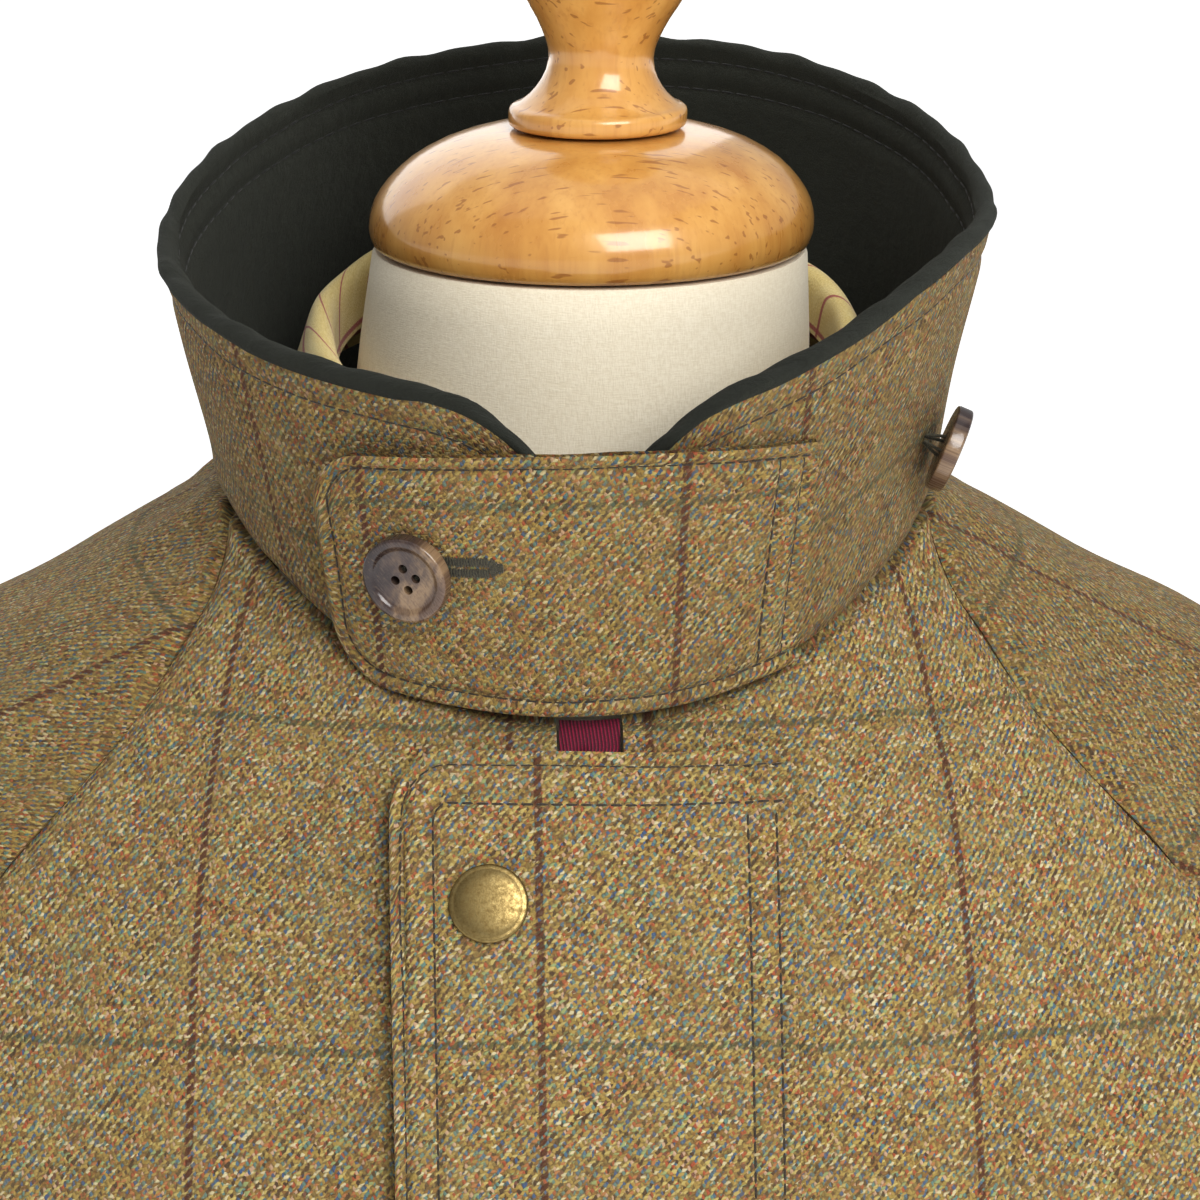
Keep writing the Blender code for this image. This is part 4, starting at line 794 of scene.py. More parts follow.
class Tree:
    """Adds and links the nodes of one material."""

    def __init__(self, name: str, roughness: float, **constants: float | Colour) -> None:
        """Start a material whose shader has these constant values on its own sockets."""
        self.material = bpy.data.materials.new(name)
        self.material.use_nodes = True
        self.nodes = self.material.node_tree.nodes
        self.links = self.material.node_tree.links
        self.shader = self.nodes["Principled BSDF"]
        for socket, value in {"Roughness": roughness, "Sheen_Roughness": 0.5, **constants}.items():
            self.feed(self.shader.inputs[socket.replace("_", " ")], value)

    def feed(self, socket: Socket, value: Value | Colour) -> None:
        """Link a socket or set its value."""
        if isinstance(value, Socket):
            self.links.new(value, socket)
        elif socket.type == "RGBA" and len(value) == 3:
            socket.default_value = (*value, 1.0)
        else:
            socket.default_value = value

    def node(self, kind: str, inputs: dict[str | int, Value | Colour], output: str | int = 0,
             **settings: str) -> Socket:
        """Add a node, feed its inputs, and return one of its outputs."""
        node = self.nodes.new("ShaderNode" + kind)
        for name, setting in settings.items():
            setattr(node, name, setting)
        for name, value in inputs.items():
            self.feed(node.inputs[name], value)
        return node.outputs[output]

    def cloth(self, rotation: float = 0.0, scale: tuple[float, float] = (1.0, 1.0)) -> Socket:
        """The cloth's own places in metres, turned and scaled."""
        return self.mapped(self.node("UVMap", {}, "UV", uv_map="cloth"), rotation, (*scale, 1.0))

    def object_places(self, scale: tuple[float, float, float] = (1.0, 1.0, 1.0)) -> Socket:
        """Object coordinates, scaled."""
        return self.mapped(self.node("TexCoord", {}, "Object"), 0.0, scale)

    def mapped(self, vector: Socket, rotation: float, scale: tuple[float, float, float]) -> Socket:
        """Turn places about Z and then scale them."""
        turned = self.node("Mapping", {"Vector": vector, "Rotation": (0.0, 0.0, rotation)})
        return self.node("Mapping", {"Vector": turned, "Scale": scale})

    def math(self, operation: str, first: Value, second: Value = 0.0, third: Value = 0.0) -> Socket:
        """A math node on up to three values."""
        return self.node("Math", {0: first, 1: second, 2: third}, operation=operation)

    def axis(self, vector: Socket, name: str) -> Socket:
        """One coordinate of a vector."""
        return self.node("SeparateXYZ", {"Vector": vector}, name)

    def mix(self, factor: Value, first: Socket | Colour, second: Socket | Colour) -> Socket:
        """Mix two colours."""
        return self.node("Mix", {0: factor, MIX_FIRST: first, MIX_SECOND: second}, MIX_RESULT, data_type="RGBA")

    def ramp(self, value: Socket, stops: Sequence[tuple[float, Colour]], steps: bool = False) -> Socket:
        """Turn a value into a colour by stops of (place, colour)."""
        colour = self.node("ValToRGB", {"Fac": value}, "Color")
        band = colour.node.color_ramp
        band.interpolation = "CONSTANT" if steps else "LINEAR"
        while len(band.elements) < len(stops):
            band.elements.new(1.0)
        for element, (place, shade) in zip(band.elements, stops):
            element.position = place
            element.color = (*shade, 1.0)
        return colour

    def spread(self, value: Value, low: float, high: float, to_low: float = 0.0, to_high: float = 1.0) -> Socket:
        """Map a range of a value to another, smoothly and clamped."""
        numbers = dict(enumerate((value, low, high, to_low, to_high)))
        return self.node("MapRange", numbers, interpolation_type="SMOOTHSTEP")

    def noise(self, vector: Socket, scale: float, detail: float = 2.0, rough: float = 0.5) -> Socket:
        """Noise between 0 and 1."""
        return self.node("TexNoise", {"Vector": vector, "Scale": scale, "Detail": detail, "Roughness": rough}, "Fac")

    def cells(self, vector: Socket, scale: float, irregular: float = 1.0) -> tuple[Socket, Socket]:
        """Cells of yarn: the distance from each one's middle, and its own random number."""
        far = self.node("TexVoronoi", {"Vector": vector, "Scale": scale, "Randomness": irregular}, "Distance",
                        voronoi_dimensions="2D")
        return far, self.axis(far.node.outputs["Color"], "X")

    def lines(self, place: Socket, line: float, pitch: float) -> Socket:
        """The signed distance from the nearest of a row of lines, one of which lies at line."""
        step = self.math("ADD", place, 40.5 * pitch - line)
        return self.math("SUBTRACT", self.math("MODULO", step, pitch), 0.5 * pitch)

    def bump(self, height: Socket, distance: float, strength: float = 1.0, under: Socket | None = None) -> Socket:
        """A bump of a height, over another bump."""
        inputs = {"Distance": distance, "Strength": strength, "Height": height}
        return self.node("Bump", inputs if under is None else {**inputs, "Normal": under})

    def done(self, colour: Socket | Colour, normal: Socket | None = None,
             roughness: Socket | None = None) -> Material:
        """Link the last colour, bump and roughness to the shader."""
        for name, value in (("Base Color", colour), ("Normal", normal), ("Roughness", roughness)):
            if value is not None:
                self.feed(self.shader.inputs[name], value)
        return self.material


@dataclass(frozen=True)
class TweedFinish:
    """Twill tweed of flecked yarns with a windowpane check, placed for one panel."""

    name: str
    warp_line: float = 0.077        # a red-brown line's distance from the panel's centre line
    weft_line: float = 0.0735       # a green line's distance from the panel's top
    tone_and_painted_shade: float = 1.0               # how light the panel is painted: the cloth's own lightness times painted shade, lower on the panels that lie in shade
    tint: tuple = (1.0, 1.04, 1.15)     # its shade against the others
    pane: float = 0.068
    pane_down: float = 0.071
    fleck: float = 0.00088
    weft: tuple = ((0.0, (0.27, 0.14, 0.038)), (0.17, (0.45, 0.31, 0.085)), (0.4, (0.56, 0.43, 0.14)),
                   (0.6, (0.36, 0.25, 0.06)), (0.73, (0.66, 0.56, 0.31)), (0.84, (0.48, 0.2, 0.07)),
                   (0.93, (0.34, 0.38, 0.15)))
    warp: tuple = ((0.0, (0.085, 0.048, 0.026)), (0.18, (0.25, 0.165, 0.05)), (0.34, (0.13, 0.235, 0.19)),
                   (0.46, (0.4, 0.265, 0.07)), (0.6, (0.4, 0.095, 0.04)), (0.7, (0.085, 0.165, 0.215)),
                   (0.8, (0.56, 0.36, 0.22)), (0.88, (0.06, 0.115, 0.21)), (0.95, (0.2, 0.085, 0.055)))

    def material(self) -> Material:
        """Build the cloth: two sets of yarn cells in twill rows, the check, nap and bump."""
        tree = Tree(self.name, 0.92, Sheen_Weight=0.06, Sheen_Tint=(0.95, 0.85, 0.62))
        # Every yarn colour is scaled by the panel's lightness, which carries its painted shade.
        weft, warp = (tuple((place, tuple(self.tone_and_painted_shade * tint * part for tint, part in zip(self.tint, colour)))
                            for place, colour in yarns) for yarns in (self.weft, self.warp))
        flat = tree.cloth()
        across, down = tree.axis(flat, "X"), tree.axis(flat, "Y")
        weft_far, weft_kind = tree.cells(tree.cloth(0.2, (0.62, 1.25)), 1.0 / self.fleck, 0.85)
        warp_far, warp_kind = tree.cells(tree.cloth(-1.05, (0.66, 1.3)), 1.0 / self.fleck, 0.85)
        wander = tree.noise(flat, 900.0, 2.0)
        rows = tree.math("ADD", tree.math("MULTIPLY", across, 1.28), down)
        rows = tree.math("MULTIPLY", rows, 2.0 * math.pi / 0.00235)
        rows = tree.math("SINE", tree.math("MULTIPLY_ADD", wander, 5.0, rows))
        over = tree.spread(rows, -0.45, 0.55)
        yarn = tree.mix(over, tree.ramp(warp_kind, warp, True), tree.ramp(weft_kind, weft, True))
        far = tree.math("ADD", tree.math("MULTIPLY", over, weft_far),
                        tree.math("MULTIPLY", tree.math("SUBTRACT", 1.0, over), warp_far))
        gap = tree.spread(far, 0.34, 0.74)
        yarn = tree.mix(tree.math("MULTIPLY", gap, 0.62), yarn, (0.085, 0.052, 0.024))
        patchy = tree.noise(flat, 75.0, 3.0, 0.6)
        yarn = tree.mix(tree.spread(patchy, 0.35, 0.7, 0.0, 0.24), yarn, (0.3, 0.24, 0.1))
        worn = tree.noise(tree.cloth(0.5, (0.6, 1.2)), 210.0, 4.0, 0.7)
        yarn = tree.mix(tree.spread(worn, 0.42, 0.66, 0.0, 0.24), yarn, (0.215, 0.125, 0.052))
        yarn = self.lined(tree, yarn, (across, self.warp_line, self.pane), down, (0.085, 0.022, 0.013), 0.88)
        yarn = self.lined(tree, yarn, (down, self.weft_line, self.pane_down), across, (0.06, 0.072, 0.04), 0.66)
        fibre = tree.noise(flat, 5200.0, 3.0, 0.7)
        yarn = tree.mix(tree.spread(fibre, 0.5, 0.8, 0.0, 0.3), yarn, (0.56, 0.46, 0.27))
        height = tree.math("MULTIPLY_ADD", fibre, 0.35, tree.math("MULTIPLY", far, -0.9))
        height = tree.math("MULTIPLY_ADD", rows, 0.08, height)
        normal = tree.bump(height, 0.00055, 0.85, tree.bump(patchy, 0.0012, 0.35))
        return tree.done(yarn, normal)

    def lined(self, tree: Tree, yarn: Socket, lines: tuple[Socket, float, float], along: Socket,
              colour: Sequence[float], strength: float) -> Socket:
        """Add the check's lines across one direction, each a row of slanted stitches of the twill.

        Args:
            tree: The material.
            yarn: The cloth's colour so far.
            lines: The coordinate that the lines are spaced along, where one lies, and their pitch.
            along: The coordinate that they run along.
            colour: Their own colour.
            strength: How fully they cover the yarn.

        Returns:
            The colour with the lines in it.
        """
        place, line, pitch = lines
        off = tree.lines(place, line, pitch)
        slant = tree.math("MULTIPLY_ADD", off, 0.9, along)
        loose = tree.noise(tree.cloth(0.3), 700.0, 2.0)
        dash = tree.math("SINE", tree.math("MULTIPLY_ADD", slant, 2.0 * math.pi / 0.00235,
                                           tree.math("MULTIPLY", loose, 4.5)))
        width = tree.math("MULTIPLY_ADD", loose, 0.0007, tree.math("ABSOLUTE", off))
        keep = tree.math("MULTIPLY", tree.spread(width, 0.00095, 0.00145, 1.0, 0.0), tree.spread(dash, -0.75, 0.0))
        return tree.mix(tree.math("MULTIPLY", keep, strength), yarn, colour)


@dataclass(frozen=True)
class WoolFinish:
    """Matt felted wool with a fine nap, for the collar's inside."""

    name: str = "collar_wool"
    dark: tuple = (0.0085, 0.01, 0.0062)
    light: tuple = (0.026, 0.028, 0.0175)

    def material(self) -> Material:
        """Build the felt: cloudy colour, loose fibres and a soft bump."""
        tree = Tree(self.name, 0.95, Sheen_Weight=0.1, Sheen_Tint=(0.75, 0.8, 0.7))
        flat = tree.cloth()
        clouds = tree.noise(flat, 260.0, 4.0, 0.65)
        nap = tree.noise(tree.cloth(0.5, (1.0, 3.2)), 2600.0, 4.0, 0.7)
        lint = tree.spread(tree.noise(tree.cloth(-0.7, (0.35, 2.2)), 1500.0, 2.0, 0.6), 0.66, 0.76)
        colour = tree.mix(tree.spread(nap, 0.3, 0.75), self.dark, self.light)
        colour = tree.mix(tree.spread(clouds, 0.4, 0.7, 0.0, 0.35), colour, self.light)
        colour = tree.mix(tree.math("MULTIPLY", lint, 0.3), colour, (0.1, 0.1, 0.07))
        normal = tree.bump(nap, 0.0006, 0.9, tree.bump(clouds, 0.0016, 0.7))
        return tree.done(colour, normal)


@dataclass(frozen=True)
class CheckFinish:
    """Brushed pale yellow cotton with a thin crimson check."""

    name: str = "check_cotton"
    pane: float = 0.0165
    line_at: tuple = (0.003, 0.0042)

    def material(self) -> Material:
        """Build the cotton: a soft twill, two line directions and a nap."""
        tree = Tree(self.name, 0.9, Sheen_Weight=0.3)
        flat = tree.cloth()
        across, down = tree.axis(flat, "X"), tree.axis(flat, "Y")
        weave = tree.noise(tree.cloth(0.75, (1.0, 3.0)), 1500.0, 3.0, 0.6)
        cloud = tree.noise(flat, 160.0, 3.0)
        colour = tree.mix(tree.spread(weave, 0.3, 0.7), (0.6, 0.45, 0.145), (0.8, 0.66, 0.29))
        colour = tree.mix(tree.spread(cloud, 0.4, 0.7, 0.0, 0.3), colour, (0.84, 0.74, 0.42))
        for place, line in ((across, self.line_at[0]), (down, self.line_at[1])):
            off = tree.lines(place, line, self.pane)
            off = tree.math("MULTIPLY_ADD", weave, 0.00035, tree.math("ABSOLUTE", off))
            colour = tree.mix(tree.spread(off, 0.0005, 0.00092, 0.85, 0.0), colour, (0.36, 0.012, 0.045))
        return tree.done(colour, tree.bump(weave, 0.0005, 0.6))


@dataclass(frozen=True)
class RibbonFinish:
    """Crimson grosgrain, ribbed across."""

    name: str = "crimson_ribbon"
    rib: float = 0.00075

    def material(self) -> Material:
        """Build the ribs and their fine threads."""
        tree = Tree(self.name, 0.55, Sheen_Weight=0.25)
        down = tree.math("MULTIPLY", tree.axis(tree.cloth(0.12), "X"), 2.0 * math.pi / self.rib)
        ribs = tree.math("MULTIPLY_ADD", tree.math("SINE", down), 0.5, 0.5)
        threads = tree.noise(tree.cloth(0.0, (1.0, 4.0)), 1600.0, 2.0)
        colour = tree.mix(tree.math("MULTIPLY", ribs, tree.spread(threads, 0.2, 0.6)),
                          (0.05, 0.002, 0.01), (0.36, 0.006, 0.06))
        return tree.done(colour, tree.bump(ribs, 0.0003, 0.9))


@dataclass(frozen=True)
class HornFinish:
    """Polished horn, marbled from purple-brown to tan."""

    name: str
    turn: float = 0.4

    def material(self) -> Material:
        """Build the marbling and the polish."""
        tree = Tree(self.name, 0.22, Coat_Weight=0.5, Coat_Roughness=0.1)
        flat = tree.cloth(self.turn, (1.0, 0.55))
        swirl = tree.noise(flat, 210.0, 5.0, 0.62)
        streak = tree.noise(tree.cloth(self.turn + 0.5, (0.5, 2.4)), 900.0, 3.0, 0.6)
        side = tree.math("MULTIPLY_ADD", tree.axis(tree.cloth(self.turn), "X"), 34.0, swirl)
        colour = tree.ramp(side, ((0.26, (0.026, 0.015, 0.015)), (0.42, (0.066, 0.042, 0.036)),
                                  (0.54, (0.13, 0.084, 0.056)), (0.66, (0.29, 0.195, 0.115)),
                                  (0.8, (0.12, 0.07, 0.046))))
        colour = tree.mix(tree.spread(streak, 0.52, 0.74, 0.0, 0.24), colour, (0.34, 0.25, 0.16))
        colour = tree.mix(tree.spread(streak, 0.46, 0.28, 0.0, 0.45), colour, (0.035, 0.02, 0.02))
        rough = tree.spread(streak, 0.3, 0.7, 0.2, 0.36)
        return tree.done(colour, tree.bump(streak, 0.00006, 0.6), rough)


@dataclass(frozen=True)
class BrassFinish:
    """Antique brass with a mottled patina."""

    name: str = "antique_brass"

    def material(self) -> Material:
        """Build the metal, its patina and its fine scratches."""
        tree = Tree(self.name, 0.36, Metallic=1.0)
        place = tree.object_places()
        patina = tree.noise(place, 900.0, 6.0, 0.75)
        grains = tree.noise(place, 2600.0, 3.0, 0.6)
        colour = tree.ramp(patina, ((0.3, (0.165, 0.112, 0.04)), (0.48, (0.27, 0.2, 0.085)),
                                    (0.66, (0.37, 0.285, 0.13))))
        colour = tree.mix(tree.spread(grains, 0.5, 0.72, 0.0, 0.45), colour, (0.16, 0.11, 0.045))
        rough = tree.spread(patina, 0.35, 0.65, 0.5, 0.33)
        return tree.done(colour, tree.bump(grains, 0.00005, 0.5), rough)


@dataclass(frozen=True)
class ThreadFinish:
    """Sewing thread, with the twist of its plies."""

    name: str
    dark: tuple
    light: tuple

    def material(self) -> Material:
        """Build the twisted thread."""
        tree = Tree(self.name, 0.65, Sheen_Weight=0.3)
        twist = tree.noise(tree.object_places(), 3200.0, 2.0, 0.6)
        colour = tree.mix(tree.spread(twist, 0.3, 0.7), self.dark, self.light)
        return tree.done(colour, tree.bump(twist, 0.0002, 0.6))


@dataclass(frozen=True)
class TapeFinish:
    """Woven zip tape in a small herringbone."""

    name: str = "zip_tape"

    def material(self) -> Material:
        """Build the tape's weave."""
        tree = Tree(self.name, 0.85, Sheen_Weight=0.15)
        flat = tree.cloth()
        zigzag = tree.math("PINGPONG", tree.axis(flat, "X"), 0.002)
        wave = tree.math("MULTIPLY", tree.math("ADD", tree.axis(flat, "Y"), zigzag), 2.0 * math.pi / 0.001)
        weave = tree.math("MULTIPLY_ADD", tree.math("SINE", wave), 0.5, 0.5)
        colour = tree.mix(weave, (0.04, 0.032, 0.02), (0.105, 0.086, 0.052))
        return tree.done(colour, tree.bump(weave, 0.0002, 0.7))


@dataclass(frozen=True)
class CalicoFinish:
    """Cream calico stretched over the form."""

    name: str = "calico"

    def material(self) -> Material:
        """Build the plain weave and faint unevenness."""
        tree = Tree(self.name, 0.88, Sheen_Weight=0.12)
        threads = tree.noise(tree.object_places((1.0, 1.0, 6.0)), 620.0, 2.0, 0.55)
        other = tree.noise(tree.object_places((5.0, 5.0, 1.0)), 620.0, 2.0, 0.55)
        weave = tree.math("MULTIPLY", tree.math("ADD", threads, other), 0.5)
        cloud = tree.noise(tree.object_places(), 30.0, 3.0)
        colour = tree.mix(tree.spread(weave, 0.35, 0.65), (0.735, 0.655, 0.505), (0.825, 0.755, 0.61))
        colour = tree.mix(tree.spread(cloud, 0.4, 0.7, 0.0, 0.25), colour, (0.8, 0.715, 0.545))
        return tree.done(colour, tree.bump(weave, 0.0004, 0.35))


@dataclass(frozen=True)
class BeechFinish:
    """Steamed beech, turned and varnished, with its short dark ray flecks."""

    name: str = "beech"

    def material(self) -> Material:
        """Build the grain, the flecks and the varnish."""
        tree = Tree(self.name, 0.3, Coat_Weight=0.85, Coat_Roughness=0.12)
        grain = tree.noise(tree.object_places((1.0, 1.0, 0.16)), 95.0, 4.0, 0.6)
        fine = tree.noise(tree.object_places((1.0, 1.0, 0.07)), 900.0, 2.0, 0.5)
        fleck = tree.noise(tree.object_places((0.16, 1.6, 1.0)), 620.0, 1.0, 0.4)
        colour = tree.ramp(grain, ((0.3, (0.52, 0.24, 0.054)), (0.5, (0.62, 0.325, 0.084)),
                                   (0.7, (0.7, 0.4, 0.12))))
        colour = tree.mix(tree.spread(fine, 0.5, 0.75, 0.0, 0.22), colour, (0.42, 0.17, 0.04))
        colour = tree.mix(tree.spread(fleck, 0.64, 0.7, 0.0, 0.6), colour, (0.28, 0.095, 0.022))
        rough = tree.spread(grain, 0.3, 0.7, 0.26, 0.36)
        return tree.done(colour, tree.bump(fine, 0.00008, 0.3), rough)


@dataclass(frozen=True)
class FloorFinish:
    """The studio's plain pale paper."""

    name: str = "studio_paper"

    def material(self) -> Material:
        """Build the paper, almost even."""
        tree = Tree(self.name, 0.95, Emission_Color=(1.0, 1.0, 1.0), Emission_Strength=0.66)
        tooth = tree.noise(tree.object_places(), 3.0, 2.0)
        return tree.done(tree.mix(tree.spread(tooth, 0.3, 0.7), (0.93, 0.93, 0.93), (0.95, 0.95, 0.95)))


class Finishes:
    """Every finish of the coat, the form and the stand, each material made once."""

    def __init__(self) -> None:
        """Make the materials; each tweed's lines lie where its panel shows them."""
        # Each tweed's lightness carries painted shade: darkest on the collar, the tab and the sleeves, a little
        # darker on the wearer's right front and the back.
        self.front_left = TweedFinish("tweed_front_left", 0.0805, tone_and_painted_shade=0.99).material()
        self.front_right = TweedFinish("tweed_front_right", -0.085, tone_and_painted_shade=0.93).material()
        self.back = TweedFinish("tweed_back", 0.034, tone_and_painted_shade=0.94).material()
        self.sleeve = TweedFinish("tweed_sleeve", -0.02, 0.024, 0.8, (1.0, 0.99, 0.96)).material()
        self.collar = TweedFinish("tweed_collar", 0.05, 0.212, 0.67, (1.0, 0.97, 0.96)).material()
        self.tab = TweedFinish("tweed_tab", 0.024, 0.111, 0.79, (1.0, 0.99, 0.99), 0.0655).material()
        self.flap = TweedFinish("tweed_flap", -0.0112, 0.0624, 0.97).material()
        self.wool = WoolFinish().material()
        self.check = CheckFinish().material()
        self.ribbon = RibbonFinish().material()
        self.horn = HornFinish("horn").material()
        self.brass = BrassFinish().material()
        self.thread, self.dark_thread, self.button_thread = (ThreadFinish(*row).material() for row in (
            ("tweed_thread", (0.014, 0.009, 0.005), (0.06, 0.04, 0.02)),
            ("wool_thread", (0.0025, 0.0028, 0.0025), (0.01, 0.011, 0.009)),
            ("button_thread", (0.02, 0.018, 0.01), (0.075, 0.066, 0.036))))
        self.tape = TapeFinish().material()
        self.calico = CalicoFinish().material()
        self.beech = BeechFinish().material()
        self.paper = FloorFinish().material()


# ---------------------------------------------------------------- the coat
TUCK = 0.0014                       # how far a panel's top runs in under the collar's seam


def sway(u: Array, v: Array, depth: float) -> Array:
    """The slight unevenness of cloth that hangs, from a few crossing waves."""
    waves = ((0.31, 0.92, 0.071, 0.4), (0.87, -0.38, 0.053, 1.9), (0.66, 0.61, 0.097, 3.1),
             (-0.52, 0.95, 0.037, 5.0), (0.95, 0.2, 0.029, 2.2))
    total = sum(np.sin(2.0 * math.pi * (x * u + y * v) / length + phase) for x, y, length, phase in waves)
    return depth * total / len(waves)


def seam_roll(distance: Array, depth: float = 0.0013, reach: float = 0.0021) -> Array:
    """Cloth that rolls down into a seam and rises a little over its allowance."""
    return -depth * np.exp(-((distance / reach) ** 2)) + 0.0005 * np.exp(-(((distance - 0.006) / 0.0035) ** 2))


def groove(distance: Array, depth: float = 0.00045, reach: float = 0.0009) -> Array:
    """The furrow that a row of stitches draws in the cloth."""
    return -depth * np.exp(-((distance / reach) ** 2))


def to_corner(from_end: Array, from_side: Array, corner: float) -> Array:
    """Distance from an edge that turns through a rounded corner."""
    past_end, past_side = np.maximum(corner - from_end, 0.0), np.maximum(corner - from_side, 0.0)
    return np.where((past_end > 0.0) & (past_side > 0.0), corner - np.hypot(past_end, past_side),
                    np.minimum(from_end, from_side))


def quilted(near: Array, row: float, height: float) -> Array:
    """The full edge that stands up between a turned edge and its row of stitches."""
    share = np.clip(near / row, 0.0, 1.0)
    beyond = np.exp(-(((near - 2.2 * row) / (0.8 * row)) ** 2))
    return height * np.sin(math.pi * share) ** 0.7 + 0.4 * height * beyond


def puckers(along: Array, away: Array, depth: float, reach: float) -> Array:
    """Short uneven wrinkles that run out from a seam."""
    wave = (np.sin(2.0 * math.pi * along / 0.0175 + 0.7) + 0.8 * np.sin(2.0 * math.pi * along / 0.0262 + 2.0)
            + 0.6 * np.sin(2.0 * math.pi * along / 0.0411))
    return depth * 0.45 * wave * np.exp(-((away / reach) ** 2)) * (1.0 - np.exp(-((away / 0.002) ** 2)))


def yoke_and_skirt(yoke_step: float, skirt_step: float, bottom: float) -> Array:
    """Levels from the neck seam to a lower edge, finer at the neck."""
    upper = spaced(0.0, 1.0, yoke_step, 0.45 * yoke_step, (0.0,), 0.05)
    lower = spaced(0.0, UNDERARM_Z - bottom, skirt_step, 0.5 * skirt_step, (UNDERARM_Z - bottom,), 0.02)
    return np.concatenate((upper, 1.0 + lower[1:]))


def outward(scale: Sequence[float], shift: Sequence[float] = (0.0, 0.0, 0.0)) -> Callable[[Array], Array]:
    """Make the rule for which way is outward: a point's place times scale, plus shift."""
    return lambda points: points * np.array(scale) + np.array(shift)


FRONT_OUT, BACK_OUT = (outward((0.0, 0.0, 0.0), (0.0, y, 0.3)) for y in (-1.0, 1.0))
SIDE_OUT, TAB_OUT = outward((1.0, 1.0, 0.0)), outward((1.0, 1.0, 0.0), (0.0, 0.0, -0.011))
SLEEVE_OUT = outward((1.0, 1.0, 1.0), (-0.23, 0.0, -1.05))
TOPSTITCH = StitchRow(length=0.0024, pitch=0.0031, width=0.0006, height=0.0004)


@dataclass
class Body:
    """The two fronts and the back."""

    finishes: Finishes
    columns: float = 0.02         # step across, as a share of the way to the raglan seam
    yoke_step: float = 0.012
    skirt_step: float = 0.0062
    hem_stitch: float = 0.025
    left_creases: tuple = (         # the wearer's left front
        Crease(0.062, -0.004, 0.052, 0.03, -0.0016, 0.0045, 0.001),
        Crease(0.07, -0.01, 0.066, 0.022, 0.0012, 0.005),
        Crease(0.08, -0.016, 0.082, 0.018, -0.0014, 0.0045),
        Crease(0.118, 0.045, 0.06, 0.15, -0.0016, 0.013, 0.006),
        Crease(0.135, 0.075, 0.095, 0.215, 0.0015, 0.016, -0.005),
        Crease(0.055, 0.24, 0.08, 0.43, -0.0022, 0.015, 0.007),
        Crease(0.11, 0.29, 0.095, 0.52, 0.0026, 0.018, -0.006),
        Crease(0.15, 0.33, 0.17, 0.62, -0.0028, 0.019, 0.005),
        Crease(0.06, 0.47, 0.05, 0.76, 0.002, 0.02, 0.004),
    )
    right_creases: tuple = (        # the wearer's right front
        Crease(0.058, -0.004, 0.064, 0.034, -0.0013, 0.005, -0.001),
        Crease(0.074, -0.012, 0.08, 0.026, 0.0011, 0.0055),
        Crease(0.11, 0.04, 0.066, 0.13, 0.0015, 0.014, -0.005),
        Crease(0.132, 0.06, 0.1, 0.2, -0.0017, 0.015, 0.006),
        Crease(0.06, 0.22, 0.086, 0.4, 0.0021, 0.016, 0.005),
        Crease(0.118, 0.3, 0.1, 0.5, -0.0027, 0.017, -0.007),
        Crease(0.155, 0.35, 0.16, 0.64, 0.0025, 0.02, 0.006),
        Crease(0.055, 0.5, 0.066, 0.78, -0.0021, 0.018, -0.004),
    )
    back_creases: tuple = (
        Crease(0.03, 0.06, 0.07, 0.18, -0.0019, 0.015, 0.006),
        Crease(0.09, 0.14, 0.11, 0.33, 0.0024, 0.017, -0.006),
        Crease(0.04, 0.33, 0.03, 0.56, -0.0028, 0.019, 0.007),
        Crease(0.13, 0.38, 0.15, 0.7, 0.0028, 0.02, -0.005),
        Crease(0.085, 0.52, 0.08, 0.82, -0.0024, 0.017, 0.004),
    )

    def front_share(self, p: Array, level: Array) -> Array:
        """The q of a front's column; 0 is its own centre edge."""
        ring = np.minimum(level, 1.0)
        half_gap = FRONT_EDGE_X[0] + ease(ring, *FRONT_NOTCH) * (FRONT_EDGE_X[1] - FRONT_EDGE_X[0])
        edge = half_gap / Cut.seam_x(ring, Side.FRONT)
        return np.where(p <= 1.0, edge + p * (1.0 - edge), p)

    def lay_flat(self, patch: Patch, centre: int, start: Array, line: Array) -> None:
        """Set a patch's cloth places: across from a column, and down a profile line."""
        step = np.linalg.norm(np.diff(patch.points[..., :2], axis=0), axis=2)
        across = np.vstack((np.zeros((1, step.shape[1])), np.cumsum(step, axis=0)))
        patch.u = across - across[centre] + start
        lengths = np.concatenate(((0.0,), np.cumsum(np.linalg.norm(np.diff(line, axis=0), axis=1))))
        above = np.maximum(patch.points[..., 2] - line[0, 2], 0.0)
        patch.v = np.interp(-patch.points[..., 2], -line[:, 2], lengths) - 1.25 * above

    def relief(self, patch: Patch, side_patch: bool, creases: Sequence[Crease]) -> Array:
        """Folds, seam rolls and unevenness of a body panel."""
        total = sway(patch.u, patch.v, 0.0011) + groove(patch.from_b1 - self.hem_stitch, 0.0006, 0.0035)
        if side_patch:
            total += seam_roll(patch.from_a1) + puckers(patch.from_b0, patch.from_a1, 0.0006, 0.012)
        else:
            yoke = 1.0 - ease(patch.b, 0.93, 1.0)
            for away in (patch.from_a1, patch.from_a0)[:2 if patch.a.min() < 0.0 else 1]:
                total += yoke * (seam_roll(away) + puckers(patch.from_b0, away, 0.0008, 0.014))
            total += seam_roll(patch.from_b0)
        return total + sum(crease.height(np.abs(patch.u), patch.v) for crease in creases)

    def front(self, name: str, mirror: bool, creases: Sequence[Crease],
              material: Material) -> Thing:
        """One front, to its own raglan and side seams."""
        levels = yoke_and_skirt(self.yoke_step, self.skirt_step, HEM_Z)
        skirt = levels[levels >= 1.0]

        def surface(p: Array, level: Array) -> Array:
            return Cut.body(self.front_share(p, level), level, Side.FRONT)

